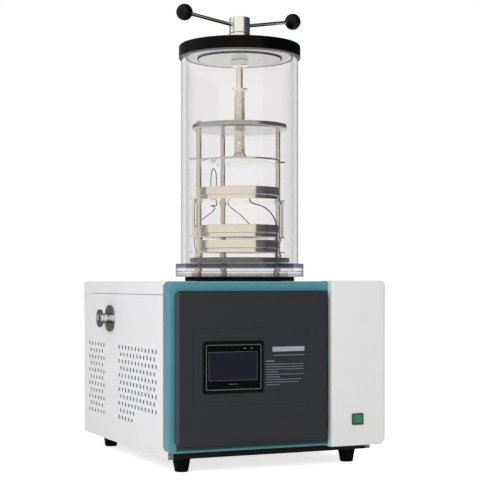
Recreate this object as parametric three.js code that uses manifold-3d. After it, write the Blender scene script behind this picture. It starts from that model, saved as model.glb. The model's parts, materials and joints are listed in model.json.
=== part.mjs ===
// Benchtop freeze dryer with a top-press stoppering chamber.
//
// Millimetres, +Z up, the front faces -Y. The model is built with x = 0 on the middle of the housing,
// y = 0 on the plane of its front edge and z = 0 on the bench, and is then moved so that the middle of
// the base of its bounding box is the origin.
//
// The main unit is a folded sheet-steel housing on four rubber feet, with a moulded fascia in front.
// It holds the refrigeration set and the cold trap. On its roof stands a clear acrylic tube with the
// tray rack inside. The T-handle on the lid turns a keyed shaft, the shaft turns the press screw, and
// the screw runs through the nut in the rack's top plate and pushes the press plate down.

import * as THREE from "three";
import { mergeGeometries, mergeVertices } from "three/addons/utils/BufferGeometryUtils.js";
import Module from "manifold-3d";

const wasm = await Module();
wasm.setup();

// ---------------------------------------------------------------- driving dimensions

const fit = 0.2; // gap between pieces that seat on each other
const running = 0.4; // radial gap round posts, shafts and the rocker
const sheet = 1.5; // folded steel sheet
const tiny = 0.5; // corner radius of edges that are left square
const over = 1; // how far a cutting body runs past a face, and a joined one into its neighbour
const facets = { wide: 32, plate: 24, neck: 16, bar: 12, post: 8, dome: 4 }; // faces of each sort of round

const foot = { height: 30, top: 38, bottom: 28, sideInset: 43, frontInset: 51, rearInset: 81 };

const housing = { width: 480, depth: 600, height: 370, lip: 28, seam: 1, fold: 3, flange: 14 };

const vents = { hole: 9, columnPitch: 22, rowPitch: 16, rows: 11, fromRoof: 150 };
const frontVents = { fromFront: 90, columns: 12, shortRows: 2, shortColumns: 5 };
const rearVents = { fromRear: 156, columns: 6, shortRows: 0, shortColumns: 0 };
const exhaust = { columns: 2, rows: 7, slotWidth: 84, slotHeight: 8, rowPitch: 22, columnPitch: 96 };

const fascia = { overhang: 10, wrap: 20, stand: 12, fromPan: 16, corner: 13, wall: 3, edge: 4 };
const column = { width: 133, stand: 30, corner: 14, edge: 10, inner: 3, wall: 3, extra: 1.5, joint: 0.4 };
const panel = { left: 13, right: 12, bottom: 15.5, top: 19.5, corner: 12, edge: 7, wall: 3, seat: 8 };
const recess = { left: 47, right: 48, bottom: 96, top: 97, corner: 3, depth: 1.2 };
const screen = { width: 137, height: 108, fromLeft: 137.5, z: 222, corner: 5, proud: 1, depth: 24 };
const glass = { width: 125, height: 94, corner: 3, pocket: 1.5 };
const powerSwitch = { fromRight: 70, z: 102, width: 28, height: 25, corner: 2, rim: 2, wall: 1.5 };
const switchBody = { inset: 2, depth: 18 };
const rocker = { face: 2.6, dip: 1, tilt: 7, backHeight: 10, backDepth: 7, pivot: 0.5 };

const port = { fromRear: 208, fromRoof: 86, length: 29, bore: 16, tube: 24 };
const portFlanges = { base: 62, baseThick: 5, outer: 42, outerThick: 5, taper: 3 };
const line = { diameter: 20, straight: 40, approach: 30, spacing: 0.9 };
const inlet = { fromSide: 90, z: 96, width: 48, height: 27, proud: 3, depth: 22, pocket: 12, wall: 3 };

// The chamber is set out from the clear tube inwards: rack base, posts, then shelves, trays and cold trap.
const chamber = { y: 193 }; // the chamber's axis, on the middle of the housing
const tube = { outer: 265, wall: 10, flangeStand: 12, flangeThick: 29, seatThick: 12 };
const rackBase = { gap: 10, thick: 10.5, bottom: 42, centreHole: 56, hole: 32, holes: 6, holesFromPosts: 35 };
const post = { fromRim: 14.5, radius: 5.5, leg: 8, collar: 8, collarHeight: 8, tip: 4.5 };
const postNut = { radius: 6.5, height: 6 };
const postAngles = { right: 0, rear: 90, left: 180 };
const ear = { beyondPost: 17, halfWidth: 9, thick: 2.5, into: 6 };
const shelf = { fromPosts: 11, height: 9.5, bottoms: [182.5, 98, 64] };
const link = { radius: 3 };
const tray = { overhang: 2, height: 18.3, wall: 1.5 };
const topPlate = { beyondPosts: 8.5, bottom: 340, thick: 12, chamfer: 3 };
const nut = { flange: 50, flangeThick: 5, body: 34 };

const trap = { insidePosts: 6.5, wall: 1.5, depth: 140, rimBeyondPosts: 9, rimThick: 2, roofGap: 1 };
const coil = { thick: 8, root: 3.2, height: 92, turns: 4, fromBottom: 12 };
const insulation = { thick: 22, underRoof: 4 };
const gasket = { gap: 1, width: 15.5, height: 10, lip: 2 };

const pressPlate = { top: 274, thick: 4 };
const screw = { diameter: 24, nose: 16, bottom: 290.5, top: 435, collar: 35, collarThick: 3, bore: 96 };
const screwFoot = { top: 24, bottom: 36, height: 16, socket: 12 };

const lid = { overhang: 5, bottom: 506, thick: 27, chamfer: 3, hole: 24 };
const lidSeal = { inward: 1, thick: 3.1 };
const backing = { gap: 4.5, stepWidth: 25, thick: 3, step: 3 };
const gland = { diameter: 47, height: 27, reach: 20, chamfer: 1 };
const glandNut = { diameter: 38, height: 14 };
const shaft = { diameter: 14.3, bottom: 383, inHub: 18 };
const hub = { diameter: 47, height: 35.5, chamfer: 1.5, underChamfer: 1 };
const rod = { diameter: 8, riseDegrees: 9.3, fromHubBase: 16, socket: 10, knobCentre: 134 };
const knob = { diameter: 37.5, hole: 8 };

const compressor = { fromLeft: 120, fromRear: 160, diameter: 150, height: 190, plate: 180, plateThick: 6 };
const shell = { stand: 8, skirt: 20, dome: 45 };
const condenser = { gap: 15, inset: 25, height: 220, thick: 44, fins: 9, finDepth: 10 };
const fan = { margin: 15, tipGap: 3, gap: 10, depth: 26, hub: 50, blades: 5, spindle: 8 };
const blade = { thick: 2.5, pitchDegrees: 28, rootChord: 24, tipChord: 34, lean: 3, belly: 24, bellyAt: 0.8 };
const shroud = { fromRear: 60.5, thick: 2, corner: 2, arm: 10, armInto: 4, motor: 60, motorDepth: 40 };
const controller = { fromRight: 90, z: 236, width: 120, height: 160, depth: 45 };

// ---------------------------------------------------------------- levels and places worked out

const roof = foot.height + housing.height;
const half = housing.width / 2;
const inFascia = fascia.wrap + fit; // where the housing starts behind the fascia
const rearFace = housing.depth - sheet;
const fasciaBottom = foot.height + fascia.fromPan;
const fasciaSide = half + fascia.overhang;
const frameRight = fasciaSide - column.width;
const screenX = screen.fromLeft - fasciaSide;
const switchX = fasciaSide - powerSwitch.fromRight;
const portY = housing.depth - port.fromRear;
const portZ = roof - port.fromRoof;
const inletX = inlet.fromSide - half;
const floorTop = foot.height + sheet + fit;
const compressorRight = compressor.fromLeft + compressor.plate / 2;
const condenserWidth = housing.width - compressorRight - condenser.gap - condenser.inset;
const condenserX = half - condenser.inset - condenserWidth / 2;
const fanRadius = Math.min(condenserWidth, condenser.height) / 2 - fan.margin;
const fanZ = floorTop + condenser.height / 2;
const shroudY = rearFace - shroud.fromRear;
const rotorY = shroudY - fan.gap - fan.depth / 2;
const condenserRear = rotorY - fan.depth / 2 - fan.gap;

const tubeOuter = tube.outer / 2;
const tubeInner = tubeOuter - tube.wall;
const rackRadius = tubeInner - rackBase.gap;
const postCircle = rackRadius - post.fromRim;
const shelfRadius = postCircle - shelf.fromPosts;
const trayRadius = shelfRadius + tray.overhang;
const topPlateRadius = postCircle + topPlate.beyondPosts;
const linkCircle = postCircle + post.collar + link.radius + running;
const trapInner = postCircle - trap.insidePosts;
const trapOuter = trapInner + trap.wall;
const trapRim = postCircle + trap.rimBeyondPosts;
const gasketInner = trapRim + gasket.gap;
const gasketOuter = gasketInner + gasket.width;

const screwHole = screw.diameter / 2 + running;
const shaftHole = shaft.diameter / 2 + running;
const lidRadius = tubeOuter + lid.overhang;
const lidTop = lid.bottom + lid.thick;
const tubeTop = lid.bottom - lidSeal.thick - fit;
const hubBase = lidTop + fit + gland.height + fit;

// ---------------------------------------------------------------- finishes

const finishes = {
  white: { color: 0xe4e4e6, roughness: 0.5, metalness: 0 },
  columnWhite: { color: 0xdedede, roughness: 0.4, metalness: 0 },
  teal: { color: 0x54888d, roughness: 0.4, metalness: 0 },
  darkPanel: { color: 0x2f3135, roughness: 0.45, metalness: 0 },
  black: { color: 0x121214, roughness: 0.45, metalness: 0 },
  blackMetal: { color: 0x1a1b1d, roughness: 0.4, metalness: 0.4 },
  rubber: { color: 0x0d0d0e, roughness: 0.8, metalness: 0 },
  screen: { color: 0x0a0d18, roughness: 0.1, metalness: 0 },
  darkGreen: { color: 0x2d6450, roughness: 0.4, metalness: 0 },
  green: { color: 0x37a077, roughness: 0.3, metalness: 0 },
  steel: { color: 0xc8c8c6, roughness: 0.2, metalness: 1 },
  galvanised: { color: 0xa9acae, roughness: 0.5, metalness: 0.8 },
  aluminium: { color: 0xb9bcc0, roughness: 0.4, metalness: 1 },
  bronze: { color: 0xb08a52, roughness: 0.35, metalness: 1 },
  copper: { color: 0xb87348, roughness: 0.35, metalness: 1 },
  foam: { color: 0x3a3a3c, roughness: 0.9, metalness: 0 },
  silicone: { color: 0x9a9ca2, roughness: 0.5, metalness: 0 },
  acrylic: { color: 0xdfe6ea, roughness: 0.05, metalness: 0 },
};

// ---------------------------------------------------------------- geometry helpers

/** Degrees to radians. */
const rad = THREE.MathUtils.degToRad;

/** A geometry with nothing but its places, so that meeting corners are one. */
function bare(geometry) {
  const stripped = geometry.clone();
  stripped.deleteAttribute("normal");
  stripped.deleteAttribute("uv");
  return mergeVertices(stripped);
}

/** A solid that can be joined and cut, from a closed three.js geometry. */
function solid(geometry) {
  const merged = bare(geometry);
  const vertProperties = Float32Array.from(merged.attributes.position.array);
  const triVerts = Uint32Array.from(merged.index.array);
  return new wasm.Manifold(new wasm.Mesh({ numProp: 3, vertProperties, triVerts }));
}

/** A three.js geometry from a solid. */
function geometryOf(body) {
  const { vertProperties, triVerts } = body.getMesh();
  const geometry = new THREE.BufferGeometry();
  geometry.setAttribute("position", new THREE.BufferAttribute(Float32Array.from(vertProperties), 3));
  geometry.setIndex(new THREE.BufferAttribute(Uint32Array.from(triVerts), 1));
  return geometry;
}

/** One body out of several that meet. */
const join = (...geometries) => geometryOf(geometries.map(solid).reduce((a, b) => a.add(b)));

/** The first geometry with all the others cut out of it. */
const cut = (base, ...tools) => geometryOf(tools.map(solid).reduce((a, b) => a.subtract(b), solid(base)));

/** A turned body about Z: [radius, z] points, closed on the axis or closed on themselves. */
function turned(profile, segments) {
  const onAxis = profile[0][0] === 0;
  const outline = onAxis ? profile : [...profile, profile[0]];
  const points = outline.map(([radius, z]) => new THREE.Vector2(radius, z));
  return new THREE.LatheGeometry(points, segments).rotateX(Math.PI / 2);
}

/** The corner radius of a faceted hole whose flats still clear a round of this radius. */
const clearOf = (radius, segments) => radius / Math.cos(Math.PI / segments);

/** A plain round bar or disc on the Z axis. */
const bar = (radius, bottom, top, segments) =>
  turned([[0, bottom], [radius, bottom], [radius, top], [0, top]], segments);

/** A plain round bar along X at a place in Y and Z. */
const barAlongX = (radius, left, right, y, z) =>
  bar(radius, left, right, facets.bar).rotateY(Math.PI / 2).translate(0, y, z);

/** A plain ring on the Z axis. */
const ring = (inner, outer, bottom, top, segments) =>
  turned([[inner, bottom], [outer, bottom], [outer, top], [inner, top]], segments);

/** A box between two corners. */
function block([x0, y0, z0], [x1, y1, z1]) {
  const box = new THREE.BoxGeometry(x1 - x0, y1 - y0, z1 - z0);
  return box.translate((x0 + x1) / 2, (y0 + y1) / 2, (z0 + z1) / 2);
}

/** A straight-sided closed outline in a plane, from [x, y] pairs. */
const outlineOf = (points) => new THREE.Shape(points.map(([x, y]) => new THREE.Vector2(x, y)));

/** A flat section in X and Z, run along Y from front to rear. */
function runAlongY(shape, front, rear) {
  const options = { depth: rear - front, bevelEnabled: false, curveSegments: 3 };
  const run = new THREE.ExtrudeGeometry(shape, options);
  return run.rotateX(Math.PI / 2).translate(0, rear, 0);
}

/** A flat section in Y and Z, run along X from left to right. */
function runAlongX(shape, left, right) {
  const run = new THREE.ExtrudeGeometry(shape, { depth: right - left, bevelEnabled: false });
  const axes = new THREE.Matrix4().makeBasis(
    new THREE.Vector3(0, 1, 0), new THREE.Vector3(0, 0, 1), new THREE.Vector3(1, 0, 0));
  return run.applyMatrix4(axes).translate(left, 0, 0);
}

/** Points of a rectangle in X and Z whose left and right corners have their own radii. */
function frontOutline(rect, leftRadius, rightRadius, steps) {
  const corners = [
    { x: rect.right - rightRadius, z: rect.bottom + rightRadius, radius: rightRadius, start: -90 },
    { x: rect.right - rightRadius, z: rect.top - rightRadius, radius: rightRadius, start: 0 },
    { x: rect.left + leftRadius, z: rect.top - leftRadius, radius: leftRadius, start: 90 },
    { x: rect.left + leftRadius, z: rect.bottom + leftRadius, radius: leftRadius, start: 180 },
  ];
  return corners.flatMap(({ x, z, radius, start }) =>
    Array.from({ length: steps + 1 }, (_, k) => {
      const angle = rad(start + (90 * k) / steps);
      return [x + radius * Math.cos(angle), z + radius * Math.sin(angle)];
    }));
}

/** A closed skin through equal rings of [x, z] points, each at its own depth y, capped at both ends. */
function skin(rings) {
  const count = rings[0].points.length;
  const positions = rings.flatMap(({ points, y }) => points.flatMap(([x, z]) => [x, y, z]));
  const index = [];
  for (let k = 0; k + 1 < rings.length; k += 1) {
    for (let i = 0; i < count; i += 1) {
      const a = k * count + i;
      const b = k * count + ((i + 1) % count);
      index.push(a, b + count, b, a, a + count, b + count);
    }
  }
  const cap = (points) =>
    THREE.ShapeUtils.triangulateShape(points.map(([x, z]) => new THREE.Vector2(x, z)), []);
  const last = (rings.length - 1) * count;
  cap(rings[0].points).forEach(([a, b, c]) => index.push(a, b, c));
  cap(rings.at(-1).points).forEach(([a, b, c]) => index.push(last + a, last + c, last + b));
  const geometry = new THREE.BufferGeometry();
  geometry.setAttribute("position", new THREE.Float32BufferAttribute(positions, 3));
  geometry.setIndex(index);
  return geometry;
}

/** A moulded cover, open at the back: a rounded front edge, square flanks and one wall thickness. */
function moulding({ rect, front, rear, leftCorner, rightCorner, edge, edgeRight, wall, steps }) {
  const at = (inset, insetRight, y) => {
    const inner = {
      left: rect.left + inset, right: rect.right - insetRight,
      bottom: rect.bottom + inset, top: rect.top - inset,
    };
    const left = Math.max(leftCorner - inset, tiny);
    const right = Math.max(rightCorner - insetRight, tiny);
    return { points: frontOutline(inner, left, right, steps), y };
  };
  const rounds = Array.from({ length: steps + 1 }, (_, k) => {
    const angle = (Math.PI / 2) * (k / steps);
    const share = 1 - Math.sin(angle);
    return at(edge * share, edgeRight * share, front + edge * (1 - Math.cos(angle)));
  });
  return skin([...rounds, at(0, 0, rear), at(wall, wall, rear), at(wall, wall, front + wall)]);
}

/** A round tube through points, as a faceted section run along a smooth curve. */
function lead(points, diameter, spacing) {
  const curve = new THREE.CatmullRomCurve3(points, false, "centripetal");
  const section = new THREE.Shape().absarc(0, 0, diameter / 2, 0, 2 * Math.PI);
  const steps = Math.min(80, Math.round(curve.getLength() / (spacing * diameter)));
  return new THREE.ExtrudeGeometry(section, { steps, curveSegments: 4, extrudePath: curve });
}

// ---------------------------------------------------------------- the model

const model = new THREE.Group();

/** A named mesh in the model. */
function piece(name, geometry, finish, parent = model) {
  const mesh = new THREE.Mesh(geometry, new THREE.MeshStandardMaterial(finishes[finish]));
  mesh.name = name;
  parent.add(mesh);
  return mesh;
}

// The chamber's pieces share one axis; heights in it are taken from the roof of the housing.
const stack = new THREE.Group();
stack.position.set(0, chamber.y, roof);
model.add(stack);

// ---------------------------------------------------------------- feet and sheet-steel housing

/** One tapered rubber foot, standing on the bench. */
function footGeometry() {
  const top = foot.height - fit;
  return turned([[0, 0], [foot.bottom / 2, 0], [foot.top / 2, top], [0, top]], facets.bar);
}

/** The folded pan that everything stands on. */
function basePanGeometry() {
  const x = half - sheet - fit;
  const rear = rearFace - fit;
  const outer = block([-x, inFascia, foot.height], [x, rear, fasciaBottom - fit]);
  const inner = [x - sheet, inFascia + sheet, foot.height + sheet];
  return cut(outer, block([-inner[0], inner[1], inner[2]], [inner[0], rear - sheet, fasciaBottom + over]));
}

/** Square vent holes in one staggered field that starts at a place in Y, as bars across a side panel. */
function ventHoles(field, start, left, right) {
  const holes = [];
  for (let row = 0; row < vents.rows; row += 1) {
    const staggered = row % 2;
    const short = row >= vents.rows - field.shortRows;
    const columns = field.columns - staggered;
    const first = short ? columns - field.shortColumns : 0;
    const z = roof - vents.fromRoof - row * vents.rowPitch;
    for (let k = first; k < columns; k += 1) {
      const y = start + (k + staggered / 2) * vents.columnPitch;
      const h = vents.hole / 2;
      holes.push(block([left, y - h, z - h], [right, y + h, z + h]));
    }
  }
  return holes;
}

/** A folded side panel, with a flange at the front and at the rear; the left one is pierced. */
function sidePanelGeometry(side) {
  const top = roof - housing.lip - housing.seam;
  const [y0, y1] = [inFascia, rearFace - fit];
  const [x0, x1] = side < 0 ? [-half, sheet - half] : [half - sheet, half];
  const flangeX = side < 0 ? [-half, housing.flange - half] : [half - housing.flange, half];
  const flange = (front) => block([flangeX[0], front, fasciaBottom], [flangeX[1], front + sheet, top]);
  const wall = join(block([x0, y0, foot.height], [x1, y1, top]), flange(y0), flange(y1 - sheet));
  if (side > 0) return wall;
  const [from, to] = [x0 - over, x1 + over];
  const holes = [
    ...ventHoles(frontVents, frontVents.fromFront, from, to),
    ...ventHoles(rearVents, housing.depth - rearVents.fromRear, from, to),
    barAlongX(port.tube / 2 + fit, from, to, portY, portZ),
  ];
  return cut(wall, mergeGeometries(holes.map(bare)));
}

/** The roof: one sheet folded down at both sides and at the rear, with the hole for the cold trap. */
function topCoverGeometry() {
  const section = (inset, low) => {
    const [x, top, radius] = [half - inset, roof - inset, housing.fold - inset];
    const shape = new THREE.Shape();
    shape.moveTo(-x, low);
    shape.lineTo(x, low);
    shape.lineTo(x, top - radius);
    shape.absarc(x - radius, top - radius, radius, 0, Math.PI / 2);
    shape.lineTo(radius - x, top);
    shape.absarc(radius - x, top - radius, radius, Math.PI / 2, Math.PI);
    return shape;
  };
  const low = roof - housing.lip;
  const outside = runAlongY(section(0, low), inFascia, housing.depth);
  const inside = runAlongY(section(sheet, low - over), inFascia - over, rearFace);
  const radius = trapOuter + trap.roofGap;
  const hole = bar(radius, roof - sheet - over, roof + over, facets.plate).translate(0, chamber.y, 0);
  return cut(outside, inside, hole);
}

/** The rear panel with its exhaust slots and the cut-out for the power inlet. */
function rearPanelGeometry() {
  const top = roof - housing.lip - housing.seam;
  const [y0, y1] = [rearFace - over, housing.depth + over];
  const slot = (x, z, w, h) => block([x - w / 2, y0, z - h / 2], [x + w / 2, y1, z + h / 2]);
  const slots = [slot(inletX, inlet.z, inlet.width - 2 * inlet.wall, inlet.height - 2 * inlet.wall)];
  for (let row = 0; row < exhaust.rows; row += 1) {
    const z = fanZ + (row - (exhaust.rows - 1) / 2) * exhaust.rowPitch;
    for (let k = 0; k < exhaust.columns; k += 1) {
      const x = condenserX + (k - (exhaust.columns - 1) / 2) * exhaust.columnPitch;
      slots.push(slot(x, z, exhaust.slotWidth, exhaust.slotHeight));
    }
  }
  const wall = block([-half, rearFace, foot.height], [half, housing.depth, top]);
  return cut(wall, mergeGeometries(slots.map(bare)));
}

/** The power inlet: a flange on the rear panel and a socket that reaches through it. */
function powerInletGeometry() {
  const [w, h] = [inlet.width / 2, inlet.height / 2];
  const back = housing.depth + fit;
  const flange = block([-w, back, -h], [w, back + inlet.proud, h]);
  const [bw, bh] = [w - inlet.wall - fit, h - inlet.wall - fit];
  const body = block([-bw, back - inlet.depth, -bh], [bw, back + over, bh]);
  const [pw, ph] = [bw - inlet.wall, bh - inlet.wall];
  const pocket = block([-pw, back + inlet.proud - inlet.pocket, -ph], [pw, back + inlet.proud + over, ph]);
  return cut(join(flange, body), pocket).translate(inletX, 0, inlet.z);
}

/** The steel plate behind the fascia. */
function bulkheadGeometry() {
  const x = half - housing.flange - fit;
  return block([-x, inFascia, fasciaBottom], [x, inFascia + sheet, roof - sheet - fit]);
}

const footX = half - foot.sideInset;
const footPlaces = {
  foot_front_left: [-footX, foot.frontInset],
  foot_front_right: [footX, foot.frontInset],
  foot_rear_left: [-footX, housing.depth - foot.rearInset],
  foot_rear_right: [footX, housing.depth - foot.rearInset],
};
for (const [name, [x, y]] of Object.entries(footPlaces)) {
  piece(name, footGeometry(), "rubber").position.set(x, y, 0);
}
piece("base_pan", basePanGeometry(), "blackMetal");
piece("left_side_panel", sidePanelGeometry(-1), "white");
piece("right_side_panel", sidePanelGeometry(1), "white");
piece("rear_panel", rearPanelGeometry(), "white");
piece("top_cover", topCoverGeometry(), "white");
piece("front_bulkhead", bulkheadGeometry(), "galvanised");
piece("power_inlet", powerInletGeometry(), "black");

// ---------------------------------------------------------------- fascia, screen and switch

const frameRect = { left: -fasciaSide, right: frameRight, bottom: fasciaBottom, top: roof };
const panelRect = {
  left: frameRect.left + panel.left, right: frameRect.right - panel.right,
  bottom: frameRect.bottom + panel.bottom, top: frameRect.top - panel.top,
};
const columnRect = {
  left: frameRight + column.joint, right: fasciaSide,
  bottom: fasciaBottom - column.extra, top: roof + column.extra,
};

/** A straight prism in front view, for windows and recesses. */
function window(rect, corner, front, rear) {
  const shape = outlineOf(frontOutline(rect, corner, corner, 3));
  return runAlongY(shape, front, rear);
}

/** A rectangle in front view, from its middle and size, grown by a gap all round. */
const rectAt = (x, z, width, height, grow = 0) => ({
  left: x - width / 2 - grow, right: x + width / 2 + grow,
  bottom: z - height / 2 - grow, top: z + height / 2 + grow,
});

/** The teal frame: wraps back over the housing's side and carries the control panel. */
function fasciaFrameGeometry() {
  const cover = moulding({
    rect: frameRect, front: -fascia.stand, rear: fascia.wrap, leftCorner: fascia.corner, rightCorner: tiny,
    edge: fascia.edge, edgeRight: 0, wall: fascia.wall, steps: 3,
  });
  const seat = {
    left: panelRect.left + panel.seat, right: panelRect.right - panel.seat,
    bottom: panelRect.bottom + panel.seat, top: panelRect.top - panel.seat,
  };
  return cut(cover, window(seat, panel.corner - panel.seat, -fascia.stand - over, 0));
}

/** The dark control panel, with a shallow recess and the window for the touch screen. */
function controlPanelGeometry() {
  const cover = moulding({
    rect: panelRect, front: -column.stand, rear: -fascia.stand - fit, leftCorner: panel.corner,
    rightCorner: panel.corner, edge: panel.edge, edgeRight: panel.edge, wall: panel.wall, steps: 3,
  });
  const hollow = {
    left: frameRect.left + recess.left, right: frameRect.right - recess.right,
    bottom: frameRect.bottom + recess.bottom, top: frameRect.top - recess.top,
  };
  const sunk = window(hollow, recess.corner, -column.stand - over, -column.stand + recess.depth);
  const hole = rectAt(screenX, screen.z, screen.width, screen.height, fit);
  return cut(cover, sunk, window(hole, screen.corner, -column.stand - over, 0));
}

/** The white column on the right, with the switch's window. */
function fasciaColumnGeometry() {
  const cover = moulding({
    rect: columnRect, front: -column.stand, rear: fascia.wrap, leftCorner: tiny, rightCorner: column.corner,
    edge: column.inner, edgeRight: column.edge, wall: column.wall, steps: 3,
  });
  const { z, width, height } = powerSwitch;
  const hole = rectAt(switchX, z, width - 2 * switchBody.inset, height - 2 * switchBody.inset, fit);
  return cut(cover, window(hole, tiny, -column.stand - over, 0));
}

/** The touch screen's housing, with a pocket in front for its glass. */
function screenBezelGeometry() {
  const front = -column.stand - screen.proud;
  const body = window(rectAt(screenX, screen.z, screen.width, screen.height), screen.corner, front,
    front + screen.depth);
  const pocket = rectAt(screenX, screen.z, glass.width, glass.height, fit);
  return cut(body, window(pocket, glass.corner, front - over, front + glass.pocket));
}

/** The glass, flush in its pocket. */
function screenGlassGeometry() {
  const front = -column.stand - screen.proud;
  const rect = rectAt(screenX, screen.z, glass.width, glass.height);
  return window(rect, glass.corner, front + fit, front + glass.pocket - fit);
}

/** The rocker switch's frame: a rim on the column and a box behind it that holds the rocker. */
function switchFrameGeometry() {
  const { width, height, corner, rim, wall } = powerSwitch;
  const { inset, depth } = switchBody;
  const face = -column.stand - fit;
  const outside = join(
    window(rectAt(0, 0, width, height), corner, face - rim, face),
    window(rectAt(0, 0, width - 2 * inset, height - 2 * inset), tiny, face - over, face + depth));
  const pocket = rectAt(0, 0, width - 2 * (inset + wall), height - 2 * (inset + wall));
  return cut(outside, window(pocket, tiny, face - rim - over, face + depth - wall));
}

/** The rocker: a shallow V face whose ends stay clear of the frame as it tips about its pivot. */
function rockerGeometry() {
  const { height, width, wall } = powerSwitch;
  const gap = switchBody.inset + wall + running;
  const [w, h] = [width / 2 - gap, height / 2 - gap];
  const { face, dip, backHeight, backDepth } = rocker;
  const section = outlineOf([
    [-face, -h], [dip - face, 0], [-face, h], [0, h], [backDepth, backHeight / 2],
    [backDepth, -backHeight / 2], [0, -h],
  ]);
  return runAlongX(section, -w, w);
}

piece("fascia_frame", fasciaFrameGeometry(), "teal");
piece("control_panel", controlPanelGeometry(), "darkPanel");
piece("fascia_column", fasciaColumnGeometry(), "columnWhite");
piece("screen_bezel", screenBezelGeometry(), "black");
piece("screen_glass", screenGlassGeometry(), "screen");
piece("switch_frame", switchFrameGeometry(), "darkGreen").position.set(switchX, 0, powerSwitch.z);
const rockerPiece = piece("power_rocker", rockerGeometry(), "green");
rockerPiece.position.set(switchX, -column.stand - rocker.pivot, powerSwitch.z);
rockerPiece.rotation.x = rad(-rocker.tilt);

// ---------------------------------------------------------------- vacuum port and line

const coilOuter = clearOf(trapOuter + fit, facets.bar) + coil.thick;
const insulationInner = clearOf(coilOuter + fit, facets.bar);

/** The vacuum port: a base flange on the panel, a neck and a clamping flange, bored through. */
function vacuumPortGeometry() {
  const [bore, neck] = [port.bore / 2, port.tube / 2];
  const { base, baseThick, outer, outerThick, taper } = portFlanges;
  const end = port.length - outerThick;
  const profile = [
    [bore, fit], [base / 2, fit], [base / 2, baseThick], [neck, baseThick],
    [neck, end - taper], [outer / 2, end], [outer / 2, port.length], [bore, port.length],
  ];
  return turned(profile, facets.neck).rotateY(-Math.PI / 2).translate(-half, portY, portZ);
}

/** The vacuum line, from the port across to a flat of the cold trap's insulation. */
function vacuumLineGeometry() {
  const reach = (insulationInner + insulation.thick) * Math.cos(Math.PI / facets.bar) + fit;
  const toTrap = new THREE.Vector3(-1, 1, 0).normalize().multiplyScalar(reach);
  const end = new THREE.Vector3(toTrap.x, chamber.y + toTrap.y, portZ);
  const points = [
    new THREE.Vector3(fit - half, portY, portZ), new THREE.Vector3(line.straight - half, portY, portZ),
    new THREE.Vector3(end.x - line.approach, end.y + line.approach, portZ), end,
  ];
  return lead(points, line.diameter, line.spacing);
}

piece("vacuum_port", vacuumPortGeometry(), "steel");
piece("vacuum_line", vacuumLineGeometry(), "rubber");

// ---------------------------------------------------------------- cold trap and refrigeration set

/** The cold trap: a deep steel pot that hangs by its rim in the roof. */
function coldTrapGeometry() {
  const [inner, outer, rim] = [trapInner, trapOuter, trapRim];
  const [low, top] = [-trap.depth, fit + trap.rimThick];
  return turned([
    [0, low], [outer, low], [outer, fit], [rim, fit], [rim, top], [inner, top], [inner, low + trap.wall],
    [0, low + trap.wall],
  ], facets.plate);
}

/** The evaporator coil, soldered round the pot: its turns make a ribbed band. */
function coilGeometry() {
  const inner = coilOuter - coil.thick;
  const [low, top] = [coil.fromBottom - trap.depth, coil.fromBottom - trap.depth + coil.height];
  const pitch = coil.height / coil.turns;
  const ribs = Array.from({ length: coil.turns }, (_, k) => [
    [inner + coil.root, low + pitch * k], [inner + coil.thick, low + pitch * (k + 0.5)],
  ]).flat();
  return turned([[inner, low], ...ribs, [inner + coil.root, top], [inner, top]], facets.bar);
}

/** The foam cup round the coil, standing on the pan. */
function insulationGeometry() {
  const inner = insulationInner;
  const outer = inner + insulation.thick;
  const [low, top] = [floorTop - roof, -sheet - insulation.underRoof];
  const floor = -trap.depth - fit;
  const cup = [[0, low], [outer, low], [outer, top], [inner, top], [inner, floor], [0, floor]];
  return turned(cup, facets.bar);
}

/** The hermetic compressor: a steel shell with a domed top on its mounting plate. */
function compressorGeometry() {
  const r = compressor.diameter / 2;
  const seat = compressor.plateThick;
  const spring = compressor.height - shell.dome;
  const dome = Array.from({ length: facets.dome + 1 }, (_, k) => {
    const angle = (Math.PI / 2) * (k / facets.dome);
    return [k === facets.dome ? 0 : r * Math.cos(angle), spring + shell.dome * Math.sin(angle)];
  });
  const body = turned([
    [0, seat - over], [r - shell.skirt, seat - over], [r - shell.skirt, seat + shell.stand],
    [r, seat + shell.stand + shell.skirt], ...dome,
  ], facets.bar);
  const p = compressor.plate / 2;
  return join(block([-p, -p, 0], [p, p, seat]), body);
}

/** The condenser: a finned block, its comb section run upwards. */
function condenserGeometry() {
  const { thick, fins, finDepth, height } = condenser;
  const side = condenserWidth / 2;
  const pitch = condenserWidth / (2 * fins - 1);
  const comb = [[-side, thick / 2], [side, thick / 2]];
  for (let k = fins - 1; k >= 0; k -= 1) {
    const x = 2 * k * pitch - side;
    comb.push([x + pitch, -thick / 2], [x, -thick / 2]);
    if (k > 0) comb.push([x, finDepth - thick / 2], [x - pitch, finDepth - thick / 2]);
  }
  return new THREE.ExtrudeGeometry(outlineOf(comb), { depth: height, bevelEnabled: false });
}

/** The fan's plate with its round opening, the struts behind it, and the motor that they hold. */
function fanShroudGeometry() {
  const opening = fanRadius + fan.tipGap;
  const plate = window(rectAt(0, 0, condenserWidth, condenser.height), shroud.corner, 0, shroud.thick);
  const hole = bar(opening, -shroud.thick - over, over, facets.neck).rotateX(Math.PI / 2);
  const reach = opening + shroud.armInto;
  const arm = block([-shroud.arm / 2, 0, -reach], [shroud.arm / 2, shroud.thick, reach]);
  const motor = bar(shroud.motor / 2, -shroud.motorDepth, 0, facets.bar);
  const spindle = bar(fan.spindle / 2, -over, fan.gap + fan.depth - 2 * fan.spindle, facets.post);
  const drive = join(motor, spindle).rotateX(Math.PI / 2);
  return join(cut(plate, hole), arm, arm.clone().rotateY(Math.PI / 2), drive);
}

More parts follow.
